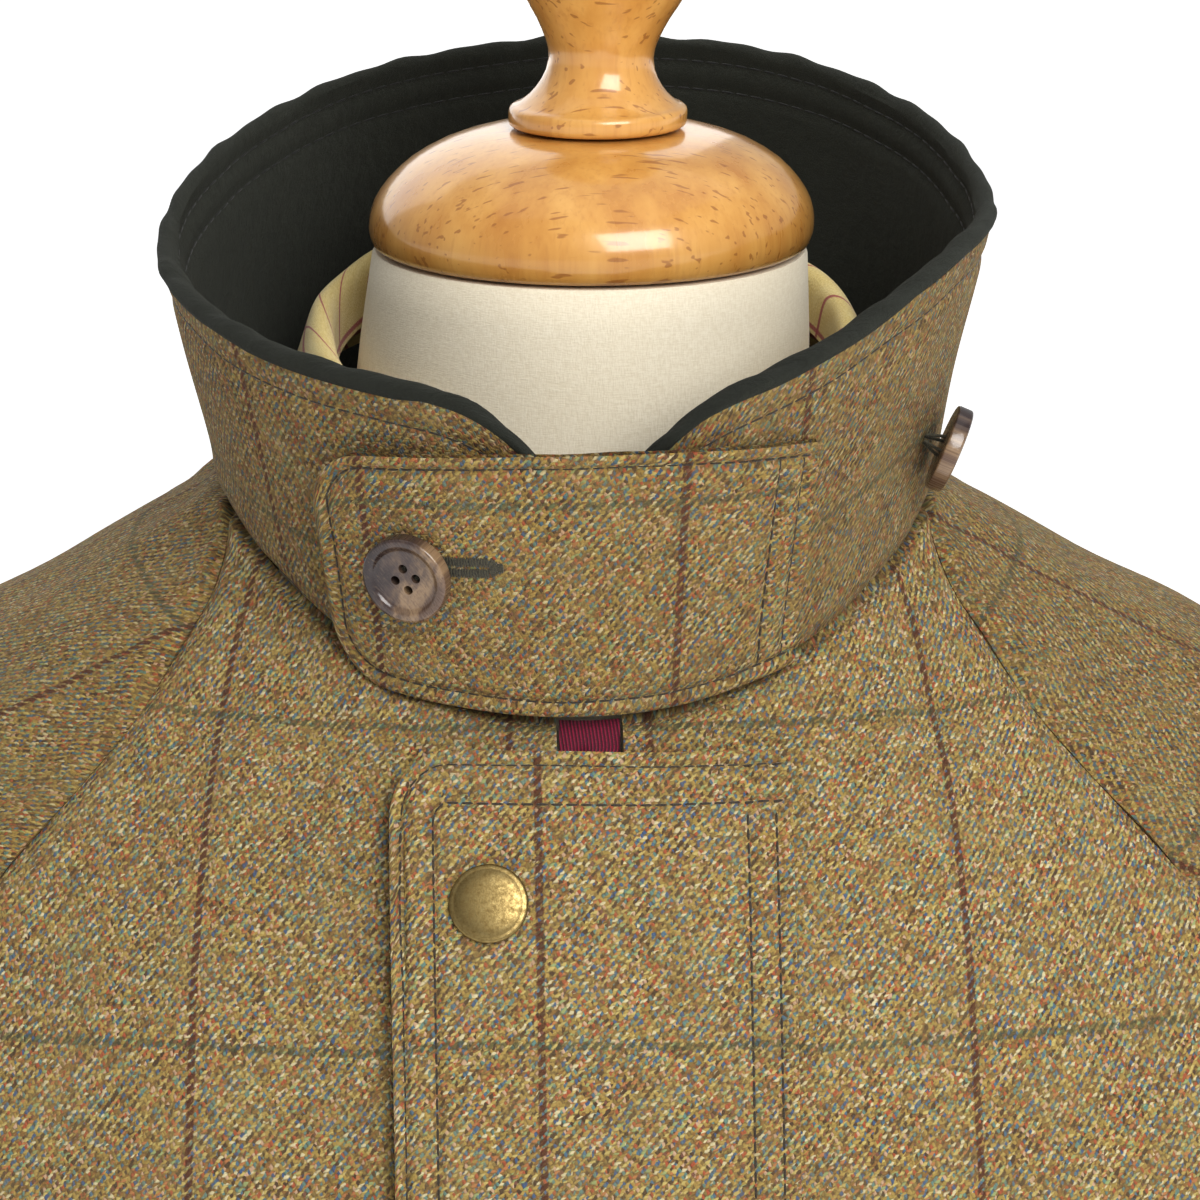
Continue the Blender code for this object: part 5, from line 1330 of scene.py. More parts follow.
        across = spaced(0.0, 1.0, self.columns, 0.006, (0.0, 1.0), 0.03)
        main = Patch(surface, across, levels, FRONT_OUT)
        side = Patch(surface, spaced(1.0, 2.0, 0.055, 0.02, (2.0,), 0.06), skirt, SIDE_OUT)
        line = main.points[0].copy()
        self.lay_flat(main, 0, main.points[:1, :, 0], line)
        self.lay_flat(side, 0, main.u[-1:, -len(skirt):], line)
        for patch, is_side in ((main, False), (side, True)):
            patch.displace(self.relief(patch, is_side, creases))
        side.meet("a0", main.points[-1, -len(skirt):])
        main.inset("b0", -TUCK)
        side.inset("a1", SEAM_GAP / 2.0)
        return cloth_piece([main.build(mirror), side.build(mirror)], f"{name}_cloth", name, 0.9 * TWEED, "tweed",
                           material, flat=(0.3, 0.85), area=0.214, held="hung", rests_on=["form_body"])

    def back(self) -> Thing:
        """The back, in one piece from side seam to side seam."""
        levels = yoke_and_skirt(self.yoke_step, self.skirt_step, HEM_Z)
        skirt = levels[levels >= 1.0]

        def surface(p: Array, level: Array) -> Array:
            return Cut.body(p, level, Side.BACK)

        half = spaced(0.0, 1.0, self.columns, 0.008, (1.0,), 0.03)
        across = np.concatenate((-half[:0:-1], half))
        main = Patch(surface, across, levels, BACK_OUT)
        centre = len(across) // 2
        line = main.points[centre].copy()
        self.lay_flat(main, centre, np.zeros((1, len(levels))), line)
        turn = spaced(1.0, 2.0, 0.055, 0.02, (2.0,), 0.06)
        left, right = (Patch(surface, sign * turn, skirt, SIDE_OUT) for sign in (1.0, -1.0))
        self.lay_flat(left, 0, main.u[-1:, -len(skirt):], line)
        self.lay_flat(right, 0, np.zeros((1, len(skirt))), line)
        right.u = main.u[:1, -len(skirt):] - right.u
        for patch, is_side in ((main, False), (left, True), (right, True)):
            patch.displace(self.relief(patch, is_side, self.back_creases))
        left.meet("a0", main.points[-1, -len(skirt):])
        right.meet("a0", main.points[0, -len(skirt):])
        main.inset("b0", -TUCK)
        for patch in (left, right):
            patch.inset("a1", SEAM_GAP / 2.0)
        return cloth_piece([main.build(), left.build(), right.build()], "back_cloth", "back", 0.9 * TWEED, "tweed",
                           self.finishes.back, flat=(0.64, 0.88), area=0.445, held="hung",
                           rests_on=["form_body"])

    def build(self) -> None:
        """Both fronts and the back."""
        self.front("front_left", False, self.left_creases, self.finishes.front_left)
        self.front("front_right", True, self.right_creases, self.finishes.front_right)
        self.back()


@dataclass
class Sleeves:
    """The raglan sleeves, up to the neck seam."""

    finishes: Finishes
    columns: float = 0.034
    yoke_step: float = 0.011
    tube_step: float = 0.005
    cuff_stitches: tuple = (0.006, 0.03)
    left_creases: tuple = (
        Crease(-0.03, 0.02, -0.065, 0.115, -0.0018, 0.011, 0.005),
        Crease(0.01, 0.06, -0.03, 0.17, 0.0016, 0.014, -0.005),
        Crease(-0.09, 0.33, 0.01, 0.4, -0.0036, 0.012, 0.008),
        Crease(-0.08, 0.37, 0.04, 0.43, 0.003, 0.011, -0.007),
        Crease(-0.06, 0.425, 0.07, 0.455, -0.0034, 0.012, 0.006),
        Crease(0.02, 0.35, 0.09, 0.42, -0.0026, 0.013, 0.006),
        Crease(-0.07, 0.52, 0.03, 0.59, -0.0024, 0.015, 0.006),
        Crease(0.0, 0.56, 0.08, 0.64, 0.0022, 0.016, -0.006),
    )
    right_creases: tuple = (
        Crease(-0.026, 0.018, -0.058, 0.12, 0.0016, 0.012, -0.005),
        Crease(0.014, 0.05, -0.04, 0.16, -0.0017, 0.013, 0.006),
        Crease(-0.085, 0.345, 0.02, 0.395, 0.0032, 0.012, 0.007),
        Crease(-0.075, 0.38, 0.05, 0.44, -0.0036, 0.012, -0.008),
        Crease(-0.05, 0.44, 0.08, 0.475, 0.0028, 0.013, 0.005),
        Crease(0.015, 0.345, 0.085, 0.4, -0.0028, 0.013, -0.005),
        Crease(-0.06, 0.545, 0.045, 0.6, 0.0023, 0.015, 0.005),
    )

    def build_one(self, name: str, mirror: bool, creases: Sequence[Crease]) -> Thing:
        """One sleeve: the cap and the outer tube, then the inner side of the tube."""
        levels = yoke_and_skirt(self.yoke_step, self.tube_step, CUFF_Z)
        tube = levels[levels >= 1.0]
        half = spaced(0.0, 1.0, self.columns, 0.01, (1.0,), 0.04)
        main = Patch(Cut.sleeve, np.concatenate((-half[:0:-1], half)), levels, SLEEVE_OUT)

        def inside(c: Array, level: Array) -> Array:
            return Cut.sleeve(np.where(c <= 2.0, c, c - 4.0), level)

        inner = Patch(inside, np.linspace(1.0, 3.0, 33), tube, outward((1.0, 1.0, 1.0), (-0.29, 0.0, 0.0)))
        centre = len(half) - 1
        main.u = main.from_a0 - main.from_a0[centre]
        main.v = np.broadcast_to(main.from_b0[centre], main.u.shape).copy()
        inner.u = inner.from_a0 + main.u[-1:, -len(tube):]
        inner.v = np.broadcast_to(main.v[0, -len(tube):], inner.u.shape).copy()
        yoke = 1.0 - ease(main.b, 0.93, 1.0)
        folds = seam_roll(main.from_b0) + sum(crease.height(main.u, main.v) for crease in creases)
        for away in (main.from_a0, main.from_a1):
            folds += yoke * (seam_roll(away, 0.001) + puckers(main.from_b0, away, 0.001, 0.016))
        for patch, own in ((main, folds), (inner, 0.0)):
            rows = sum(groove(patch.from_b1 - row, 0.0005, 0.003) for row in self.cuff_stitches)
            patch.displace(sway(patch.u, patch.v, 0.0013) + own + rows)
        inner.meet("a0", main.points[-1, -len(tube):])
        inner.meet("a1", main.points[0, -len(tube):])
        main.inset("b0", -TUCK)
        return cloth_piece([main.build(mirror), inner.build(mirror)], f"{name}_cloth", name, 0.9 * TWEED, "tweed",
                           self.finishes.sleeve, flat=(0.47, 0.83), area=0.258, held="hung",
                           rests_on=["form_body"])

    def build(self) -> None:
        """Both sleeves."""
        self.build_one("sleeve_left", False, self.left_creases)
        self.build_one("sleeve_right", True, self.right_creases)


@dataclass
class Collar:
    """The stand collar: its tweed outside and the wool that lines it and rolls over its rim."""

    finishes: Finishes
    count: int = 300
    roll: float = 0.0023            # radius of the wool's roll over the rim
    tweed_drop: float = 0.0026      # the tweed ends this far under the rim
    inside_rows: tuple = (0.0052, 0.0115)
    outside_rows: tuple = (0.0095,)
    wool_inside: float = -(COLLAR_CLOTH + COLLAR_LINING + 0.0003)       # the wool's face, from the tweed's

    def place(self, share: Array, drop: Array, out: Array | float) -> Array:
        """A place on the collar, share round it, drop metres under the rim, out metres outside."""
        rise = 1.0
        for _ in range(2):
            station = 180.0 + share * (180.0 - Cut.collar_end(np.clip(rise, 0.0, 1.0)))
            wrapped = wrap(station)
            rise = 1.0 - drop / (RIM.at(wrapped)[0] - Cut.neck_seam_z(wrapped))
        base = Cut.collar(station, np.clip(rise, 0.0, None))
        return base + np.asarray(out)[..., None] * Cut.collar_normal(wrapped, np.clip(rise, 0.0, 1.0))

    @staticmethod
    def height(share: Array) -> Array:
        """The collar's height at shares round it."""
        station = wrap(180.0 + share * (180.0 - Cut.collar_end(np.full_like(share, 0.5))))
        return RIM.at(station)[0] - Cut.neck_seam_z(station)

    def shares(self) -> Array:
        """Columns round the collar, finer at its ends."""
        return spaced(-1.0, 1.0, 2.0 / self.count, 0.6 / self.count, (-1.0, 1.0), 0.03)

    def outside(self) -> Thing:
        """The tweed wall; returns it for its stitches."""

        def surface(share: Array, part: Array) -> Array:
            fall = 0.994 * self.height(share) - self.tweed_drop
            return self.place(share, self.tweed_drop + part * fall, 0.0)

        shares = self.shares()
        patch = Patch(surface, shares, spaced(0.0, 1.0, 0.028, 0.009, (0.0, 0.1, 1.0), 0.07), SIDE_OUT)
        centre = int(np.argmin(np.abs(shares)))
        round_it = (patch.from_a0 - patch.from_a0[centre]).mean(axis=1, keepdims=True)
        patch.u = np.broadcast_to(round_it, patch.from_b0.shape).copy()
        patch.v = patch.from_b0 + 0.1
        total = sway(patch.u, patch.from_b0, 0.0008) + seam_roll(patch.from_b1, 0.0005)
        for row in self.outside_rows:
            total += groove(patch.from_b0 + self.tweed_drop - row, 0.0006, 0.0016)
        patch.displace(total)
        return cloth_piece([patch.build()], "collar_outer_cloth", "collar_outer", 0.85 * COLLAR_CLOTH, "tweed",
                           self.finishes.collar, flat=(0.545, 0.11), area=0.033, held="stretched",
                           rests_on=["collar_lining"])

    def section(self, part: Array, height: Array) -> tuple[Array, Array]:
        """The wool's visible face as (drop under the rim, distance outside the tweed's face).

        Args:
            part: 0 at the foot inside, 1 where the roll starts, 2 where it ends outside.
            height: The collar's height.

        Returns:
            The drop and the distance.
        """
        inner = self.wool_inside
        middle = 0.5 * (inner + 0.0006)
        radius = 0.5 * (0.0006 - inner)
        turn = np.clip(part - 1.0, 0.0, 1.0) * math.pi
        foot = 0.97 * height
        drop = np.where(part <= 1.0, foot + part * (self.roll - foot),
                        self.roll - self.roll * np.sin(turn))
        out = np.where(part <= 1.0, inner, middle - radius * np.cos(turn))
        tail = np.clip(part - 2.0, 0.0, 1.0)
        return drop + 0.0016 * tail, out - 0.0007 * tail

    def inside(self) -> Thing:
        """The wool, from its foot inside, over the rim and onto the tweed."""
        def surface(share: Array, part: Array) -> Array:
            return self.place(share, *self.section(part, self.height(share)))

        shares = self.shares()
        parts = np.concatenate((spaced(0.0, 1.0, 0.034, 0.012, (0.86, 0.94), 0.08),
                                np.linspace(1.0, 2.0, 13)[1:], (2.5, 3.0)))
        patch = Patch(surface, shares, parts, outward((-1.0, -1.0, 0.0)))
        centre = int(np.argmin(np.abs(shares)))
        patch.u = patch.from_a0 - patch.from_a0[centre]
        patch.v = patch.from_b1.copy()
        from_rim = patch.from_b0[:, [int(np.searchsorted(parts, 1.0))]] - patch.from_b0 + self.roll
        inside = patch.b <= 1.0
        ripple = 0.00022 * np.sin(patch.u / 0.0031 + 1.3) + 0.00018 * np.sin(patch.u / 0.0019)
        total = ripple * np.exp(-((patch.b - 1.5) / 0.6) ** 2) - sway(patch.u, from_rim, 0.0008) * inside
        for row in self.inside_rows:
            total += groove(from_rim - row, 0.0008, 0.0015) * inside
        patch.displace(total)
        return cloth_piece([patch.build()], "collar_wool_lining", "collar_lining", 0.0012, "collar_wool",
                           self.finishes.wool, flat=(0.55, 0.12), area=0.035, held="stretched",
                           rests_on=["collar_outer_cloth"])

    def build(self) -> None:
        """The tweed, the wool, and the topstitching inside and outside under the rim."""
        tweed = self.outside()
        wool = self.inside()
        shares = np.linspace(-0.985, 0.985, 600)
        thread = StitchRow(length=0.0029, pitch=0.0036, width=0.0005, height=0.0004)
        for side, drops, out, sign, yarn, cloth, slot in (
                ("inside", self.inside_rows, self.wool_inside, -1.0, self.finishes.dark_thread, wool, "collar_wool"),
                ("outside", self.outside_rows, 0.0, 1.0, self.finishes.thread, tweed, "tweed")):
            rows = [self.place(shares, np.full_like(shares, drop), out) for drop in drops]
            paths = [(row, sign * unit(SIDE_OUT(row))) for row in rows]
            register(thread.build(f"collar_{side}_stitches", paths, yarn, cloth), slot)


@dataclass
class ThroatTab:
    """The tab over the collar's front, sewn down at the wearer's left."""

    finishes: Finishes
    step: float = 0.0007
    edge_row: float = 0.003
    end_rows: tuple = (0.0035, 0.0095)      # rows across the sewn end
    rounded: float = 0.0011
    length: float = math.radians(TAB_STATIONS[1] - TAB_STATIONS[0]) * TAB_RADIUS

    def drop(self, from_end: Array) -> Array:
        """How far the rounded corners cut into the tab's height."""
        inside = np.maximum(TAB_CORNER - from_end, 0.0)
        return np.where(from_end < TAB_CORNER, TAB_CORNER - np.sqrt(TAB_CORNER**2 - inside**2), 0.0)

    def at(self, from_end: Array, up: Array, inset: float = 0.0, out: float = 0.0) -> Array:
        """A place on the tab's face; up runs from 0 to 1 between edges that are inset."""
        station = TAB_STATIONS[0] + from_end / self.length * (TAB_STATIONS[1] - TAB_STATIONS[0])
        low, high = Cut.tab_edges(station)
        drop = self.drop(np.maximum(from_end - inset, 0.0) * TAB_CORNER / (TAB_CORNER - inset))
        drop = drop * (TAB_CORNER - inset) / TAB_CORNER + inset
        return Cut.tab(station, low + drop + up * (high - low - 2.0 * drop), out)

    def cloth(self) -> Thing:
        """The two layers of tweed."""
        corner = TAB_CORNER * (1.0 - np.cos(np.linspace(0.0, math.pi / 2.0, 16)))
        along = np.concatenate((corner, spaced(TAB_CORNER, self.length, self.step, self.step)[1:]))
        patch = Patch(self.at, along, np.linspace(0.0, 1.0, 96), FRONT_OUT)
        patch.u = patch.a - 0.5 * self.length
        patch.v = (1.0 - patch.b) * 0.058 + 0.1
        from_long = np.minimum(patch.from_b0, patch.from_b1)
        near = to_corner(patch.a, from_long + self.drop(patch.a), TAB_CORNER)
        total = groove(near - self.edge_row, 0.00095, 0.0009) + sway(patch.u, patch.v, 0.0006)
        total += quilted(near, self.edge_row, 0.00045) + puckers(patch.a, from_long, 0.0003, 0.006)
        for row in self.end_rows:
            total += groove(patch.from_a1 - row, 0.00085, 0.0009) * ease(near, 0.002, 0.006)
        patch.displace(total)
        return cloth_piece([patch.build()], "throat_tab_cloth", "throat_tab", TURNED_TWEED, "tweed",
                           self.finishes.tab, self.rounded, 70.0, flat=(0.109, 0.06), held="laid",
                           rests_on=["collar_outer_cloth"])

    def stitches(self, cloth: Thing) -> None:
        """The edge row, and the two rows across the sewn end."""
        inset = self.edge_row
        along = np.linspace(TAB_CORNER, self.length - 0.0015, 80)
        bend = np.linspace(0.0, math.pi / 2.0, 14)
        curve = inset + (TAB_CORNER - inset) * (1.0 - np.cos(bend))
        edge = [(along[::-1], 1.0), (curve[::-1], 1.0), (np.full(24, inset + 0.0001), np.linspace(0.97, 0.03, 24)),
                (curve, 0.0), (along, 0.0)]
        rows = [np.vstack([self.at(run, up + 0.0 * run, inset) for run, up in edge])]
        rows += [self.at(np.full(50, self.length - row), np.linspace(0.0, 1.0, 50), inset) for row in self.end_rows]
        paths = [(row, unit(TAB_OUT(row))) for row in rows]
        register(TOPSTITCH.build("throat_tab_stitches", paths, self.finishes.thread, cloth), "tweed")

    def build(self) -> Thing:
        """The tab and its stitches; returns the cloth for the buttonhole."""
        cloth = self.cloth()
        self.stitches(cloth)
        return cloth


@dataclass
class StormFlap:
    """The flap over the zip, sewn down at the wearer's left."""

    finishes: Finishes
    edge_rows: tuple = (0.0023, 0.0088)
    sewn_rows: tuple = (0.0033, 0.0093)
    rounded: float = 0.0011

    def lift(self, x: Array) -> Array:
        """How far the flap's face stands off the fronts."""
        return LAY_GAP + TURNED_TWEED + FLAP_LIFT * (1.0 - ease(x + FLAP_HALF_WIDTH, *FLAP_LIFT_FADE))

    def drop(self, x: Array) -> Array:
        """How far the rounded corner cuts into the flap's top."""
        inside = np.maximum(FLAP_CORNER - (x + FLAP_HALF_WIDTH), 0.0)
        return np.where(inside > 0.0, FLAP_CORNER - np.sqrt(np.maximum(FLAP_CORNER**2 - inside**2, 0.0)), 0.0)

    def face(self, x: Array, z: Array, out: float = 0.0) -> Array:
        """A place on the flap's face."""
        return Cut.over_front(x, Cut.level_at(x, z), self.lift(x) + out)

    def cloth(self) -> Thing:
        """The two layers of tweed."""
        corner = -FLAP_HALF_WIDTH + FLAP_CORNER * (1.0 - np.cos(np.linspace(0.0, math.pi / 2.0, 34)))
        near_rows = [row - FLAP_HALF_WIDTH for row in self.edge_rows]
        near_rows += [FLAP_HALF_WIDTH - row for row in self.sewn_rows]
        across = np.concatenate((corner, spaced(corner[-1], FLAP_HALF_WIDTH, 0.0016, 0.0006, near_rows, 0.0025)[1:]))
        top_zone = 0.11
        downs = np.concatenate((spaced(0.0, top_zone, 0.0018, 0.0006, self.edge_rows, 0.003),
                                spaced(top_zone, FLAP_TOP_Z - FLAP_BOTTOM_Z, 0.0056, 0.0056)[1:]))

        def surface(x: Array, down: Array) -> Array:
            fade = 1.0 - np.clip(down / (FLAP_TOP_Z - FLAP_BOTTOM_Z), 0.0, 1.0)
            return self.face(x, FLAP_TOP_Z - down - self.drop(x) * fade)

        patch = Patch(surface, across, downs, FRONT_OUT)
        patch.u = patch.a.copy()
        patch.v = patch.from_b0 + self.drop(patch.a)
        left = patch.a + FLAP_HALF_WIDTH
        near = to_corner(left, patch.v, FLAP_CORNER)
        total = sway(patch.u, patch.v, 0.0006) + quilted(near, self.edge_rows[0], 0.00045)
        total += puckers(patch.from_b0, left, 0.0004, 0.01)
        total += sum(groove(near - row, 0.0009, 0.00095) for row in self.edge_rows)
        total += sum(groove(FLAP_HALF_WIDTH - patch.a - row, 0.00085, 0.00095) for row in self.sewn_rows)
        patch.displace(total)
        return cloth_piece([patch.build()], "storm_flap_cloth", "storm_flap", TURNED_TWEED, "tweed",
                           self.finishes.flap, self.rounded, 70.0, flat=(0.084, 0.79), held="laid",
                           rests_on=["front_left_cloth", "front_right_cloth"])

    def stitches(self, cloth: Thing) -> None:
        """Two rows round the free edge and two down the sewn side."""
        rows = []
        for row in self.edge_rows:
            down = np.linspace(FLAP_BOTTOM_Z + 0.003, FLAP_TOP_Z - FLAP_CORNER, 260)
            radius = FLAP_CORNER - row
            bend = np.linspace(0.0, math.pi / 2.0, 12)[1:]
            x = np.concatenate((np.full(260, row - FLAP_HALF_WIDTH),
                                FLAP_CORNER - FLAP_HALF_WIDTH - radius * np.cos(bend),
                                np.linspace(FLAP_CORNER - FLAP_HALF_WIDTH, FLAP_HALF_WIDTH - 0.0015, 40)[1:]))
            z = np.concatenate((down, FLAP_TOP_Z - FLAP_CORNER + radius * np.sin(bend),
                                np.full(39, FLAP_TOP_Z - row)))
            rows.append(self.face(x, z))
        for row in self.sewn_rows:
            z = np.linspace(FLAP_BOTTOM_Z + 0.003, FLAP_TOP_Z - 0.0105, 260)
            rows.append(self.face(np.full_like(z, FLAP_HALF_WIDTH - row), z))
        paths = [(row, Cut.front_normal(row[:, 0], Cut.level_at(row[:, 0], row[:, 2]))) for row in rows]
        register(TOPSTITCH.build("storm_flap_stitches", paths, self.finishes.thread, cloth), "tweed")

    def build(self) -> None:
        """The flap and its stitches."""
        self.stitches(self.cloth())


def collar_frame(station: float, rise_m: float, out: float) -> Matrix:
    """A placing matrix on the collar, rise_m above the neck seam."""
    place = np.array(station)
    rise = rise_m / (RIM.at(place)[0] - Cut.neck_seam_z(place))
    normal = Cut.collar_normal(place, rise)
    return frame_at(Cut.collar(place, rise, False) + out * normal, normal)


@dataclass
class Buttons:
    """The tab's horn button with its thread, the spare one, and the tab's buttonhole."""

    finishes: Finishes
    radius: float = 0.0095
    thickness: float = 0.0034
    rim: float = 0.002
    dish: float = 0.0009
    hole_radius: float = 0.001
    hole_circle: float = 0.0024
    hole_angles: tuple = (100.0, 10.0, 280.0, 190.0)
    tab_place: tuple = (-24.3, 0.0285)                          # station, rise
    spare_place: tuple = (61.5, 0.0258, 0.0046, 19.0, 12.0)     # station, rise, out, yaw, tilt
    slit: tuple = (0.002, 0.0172, 0.0022)      # buttonhole: start and end from the button, height

    def blank(self) -> Thing:
        """A turned button on the XY plane, its rim and dish made by insets, with four holes."""
        fresh()
        bpy.ops.mesh.primitive_cylinder_add(vertices=64, radius=self.radius, depth=self.thickness,
                                            location=(0.0, 0.0, 0.5 * self.thickness))
        thing = bpy.context.object
        bpy.ops.object.transform_apply(location=True)
        bpy.ops.object.mode_set(mode="EDIT")
        shape = bmesh.from_edit_mesh(thing.data)
        for face in shape.faces:
            face.select_set(face.normal.z > 0.9)
        bmesh.update_edit_mesh(thing.data)
        for thickness, depth in ((0.0007, 0.0002), (self.rim - 0.0007, -0.00012), (0.0006, -self.dish),
                                 (0.0022, -0.00018), (0.002, 0.0)):
            bpy.ops.mesh.inset(thickness=thickness, depth=0.0)
            if depth:
                bpy.ops.transform.translate(value=(0.0, 0.0, depth))
        bpy.ops.object.mode_set(mode="OBJECT")
        apply(thing, "BEVEL", width=0.00045, segments=3, limit_method="ANGLE", angle_limit=math.radians(32.0))
        for angle in self.hole_angles:
            fresh()
            turn = math.radians(angle)
            bpy.ops.mesh.primitive_cylinder_add(
                vertices=20, radius=self.hole_radius, depth=0.02,
                location=(self.hole_circle * math.cos(turn), self.hole_circle * math.sin(turn), 0.0))
            drill = bpy.context.object
            apply(thing, "BOOLEAN", object=drill, operation="DIFFERENCE", solver="EXACT")
            bpy.data.objects.remove(drill, do_unlink=True)
        return thing

    def dress(self, name: str, place: Matrix, turn: float) -> None:
        """Map a blank's marbling flat from above and put it in its place."""
        thing = self.blank()
        layer = thing.data.uv_layers[0] if thing.data.uv_layers else thing.data.uv_layers.new()
        layer.name = "cloth"
        for loop in thing.data.loops:
            x, y, _ = thing.data.vertices[loop.vertex_index].co
            layer.data[loop.index].uv = (x * math.cos(turn) - y * math.sin(turn),
                                         x * math.sin(turn) + y * math.cos(turn))
        settle(thing, f"{name}_horn", self.finishes.horn, 35.0)
        put(thing, place)
        register(thing, "horn", [name])

    def sewing(self, name: str, place: Matrix, shank: float) -> None:
        """Thread over the middle of a button and down its holes to the cloth."""
        paths = []
        for first, second in ((0, 3), (1, 2)):
            ends = [self.hole_circle * np.array((math.cos(turn), math.sin(turn)))
                    for turn in np.radians((self.hole_angles[first], self.hole_angles[second]))]
            run = unit(ends[1] - ends[0])
            top = 0.35 * (self.thickness - self.dish)
            for offset in (-0.00028, 0.00028):
                a, b = (end + offset * np.array((-run[1], run[0])) for end in ends)
                paths.append([(*(0.4 * a), -shank), (*a, 0.0), (*a, top - 0.0004), (*(a + 0.12 * (b - a)), top),
                              (*(0.5 * (a + b)), top), (*(b + 0.12 * (a - b)), top), (*b, top - 0.0004),
                              (*b, 0.0), (*(0.4 * b), -shank)])
        curve = bpy.data.curves.new(name, "CURVE")
        curve.dimensions = "3D"
        curve.bevel_depth, curve.bevel_resolution = 0.0003, 2
        for path in paths:
            line = curve.splines.new("BEZIER")
            line.bezier_points.add(len(path) - 1)
            for knot, point in zip(line.bezier_points, path):
                knot.co = point
                knot.handle_left_type = knot.handle_right_type = "AUTO"
        only(linked(name, curve))
        bpy.ops.object.convert(target="MESH")
        thing = bpy.context.object
        settle(thing, name, self.finishes.button_thread, 60.0)
        put(thing, place)
        register(thing, "horn")

    def buttonhole(self, place: Matrix, tab: Thing) -> None:
        """A keyhole buttonhole: purl stitches round a slit, with a bar at its right end."""
        start, end, height = self.slit
        loops, lines = [], []
        half = 0.00175
        for x in np.arange(start, end, 0.00062):
            for side in (-1.0, 1.0):
                loops.append(((x, height + side * 0.00035), (x, height + side * (0.00035 + half))))
        for turn in np.linspace(-70.0, 70.0, 9):
            direction = np.array((math.cos(math.radians(turn)), math.sin(math.radians(turn))))
            inner = np.array((end, height)) + 0.0003 * direction
            loops.append((tuple(inner), tuple(inner + half * direction)))
        for x in (end + 0.0021, end + 0.0025, end + 0.0029):
            loops.append(((x, height - 0.0024), (x, height + 0.0024)))
        for ends in loops:
            start_at, end_at = (np.array((*end_point, 0.0)) for end_point in ends)
            row = (start_at, 0.5 * (start_at + end_at), end_at)
            points = np.array([(place @ Vector(point))[:] for point in row])
            lines.append((points, unit(unit(SIDE_OUT(points)) + np.array((0.0, 0.0, -0.1)))))
        stitch = StitchRow(length=0.0021, pitch=0.006, width=0.00062, height=0.0006)
        register(stitch.build("tab_buttonhole_stitches", lines, self.finishes.button_thread, tab, -0.0001), "tweed")

    def build(self, tab: Thing) -> None:
        """Both buttons, their thread and the buttonhole."""
        station, rise = self.tab_place
        lift = float(Cut.tab_lift(station))
        place = collar_frame(station, rise, lift + DISC_GAP)
        self.dress("tab_button", place, 0.0)
        self.sewing("tab_button_thread", place, 0.0022)
        self.buttonhole(collar_frame(station, rise, lift + 0.0001), tab)
        station, rise, out, yaw, tilt = self.spare_place
        place = (collar_frame(station, rise, out) @ Matrix.Rotation(math.radians(yaw), 4, "Y")
                 @ Matrix.Rotation(math.radians(tilt), 4, "X"))
        self.dress("spare_button", place, 2.0)
        self.sewing("spare_button_thread", place, 0.004)


@dataclass
class PressStuds:
    """The antique brass press studs down the storm flap."""

    finishes: Finishes
    radius: float = 0.00825
    height: float = 0.002
    x: float = -0.0215
    first_z: float = 1.264
    pitch: float = 0.135
    count: int = 6

    def build(self, flap: StormFlap) -> None:
        """Turn one cap, then set a copy at every place."""
        for number in range(self.count):
            z = self.first_z - number * self.pitch
            rings = [(0.0, 0.0, radius * self.radius, radius * self.radius, height * self.height)
                     for radius, height in ((0.9, 0.0), (0.965, 0.06), (1.0, 0.2), (1.0, 0.38), (0.965, 0.52),
                                            (0.915, 0.585), (0.875, 0.58), (0.855, 0.62), (0.79, 0.74),
                                            (0.66, 0.85), (0.48, 0.93), (0.28, 0.98), (0.08, 1.0))]
            thing = loft_by_extrusion(rings, 56)
            x = np.array(self.x)
            level = Cut.level_at(x, np.array(z))
            point, normal = Cut.over_front(x, level, float(flap.lift(x)) + 0.0003), Cut.front_normal(x, level)
            settle(thing, f"stud_{number + 1}_cap", self.finishes.brass, 50.0)
            put(thing, frame_at(point, normal))
            register(thing, "antique_brass", [f"stud_{number + 1}"])


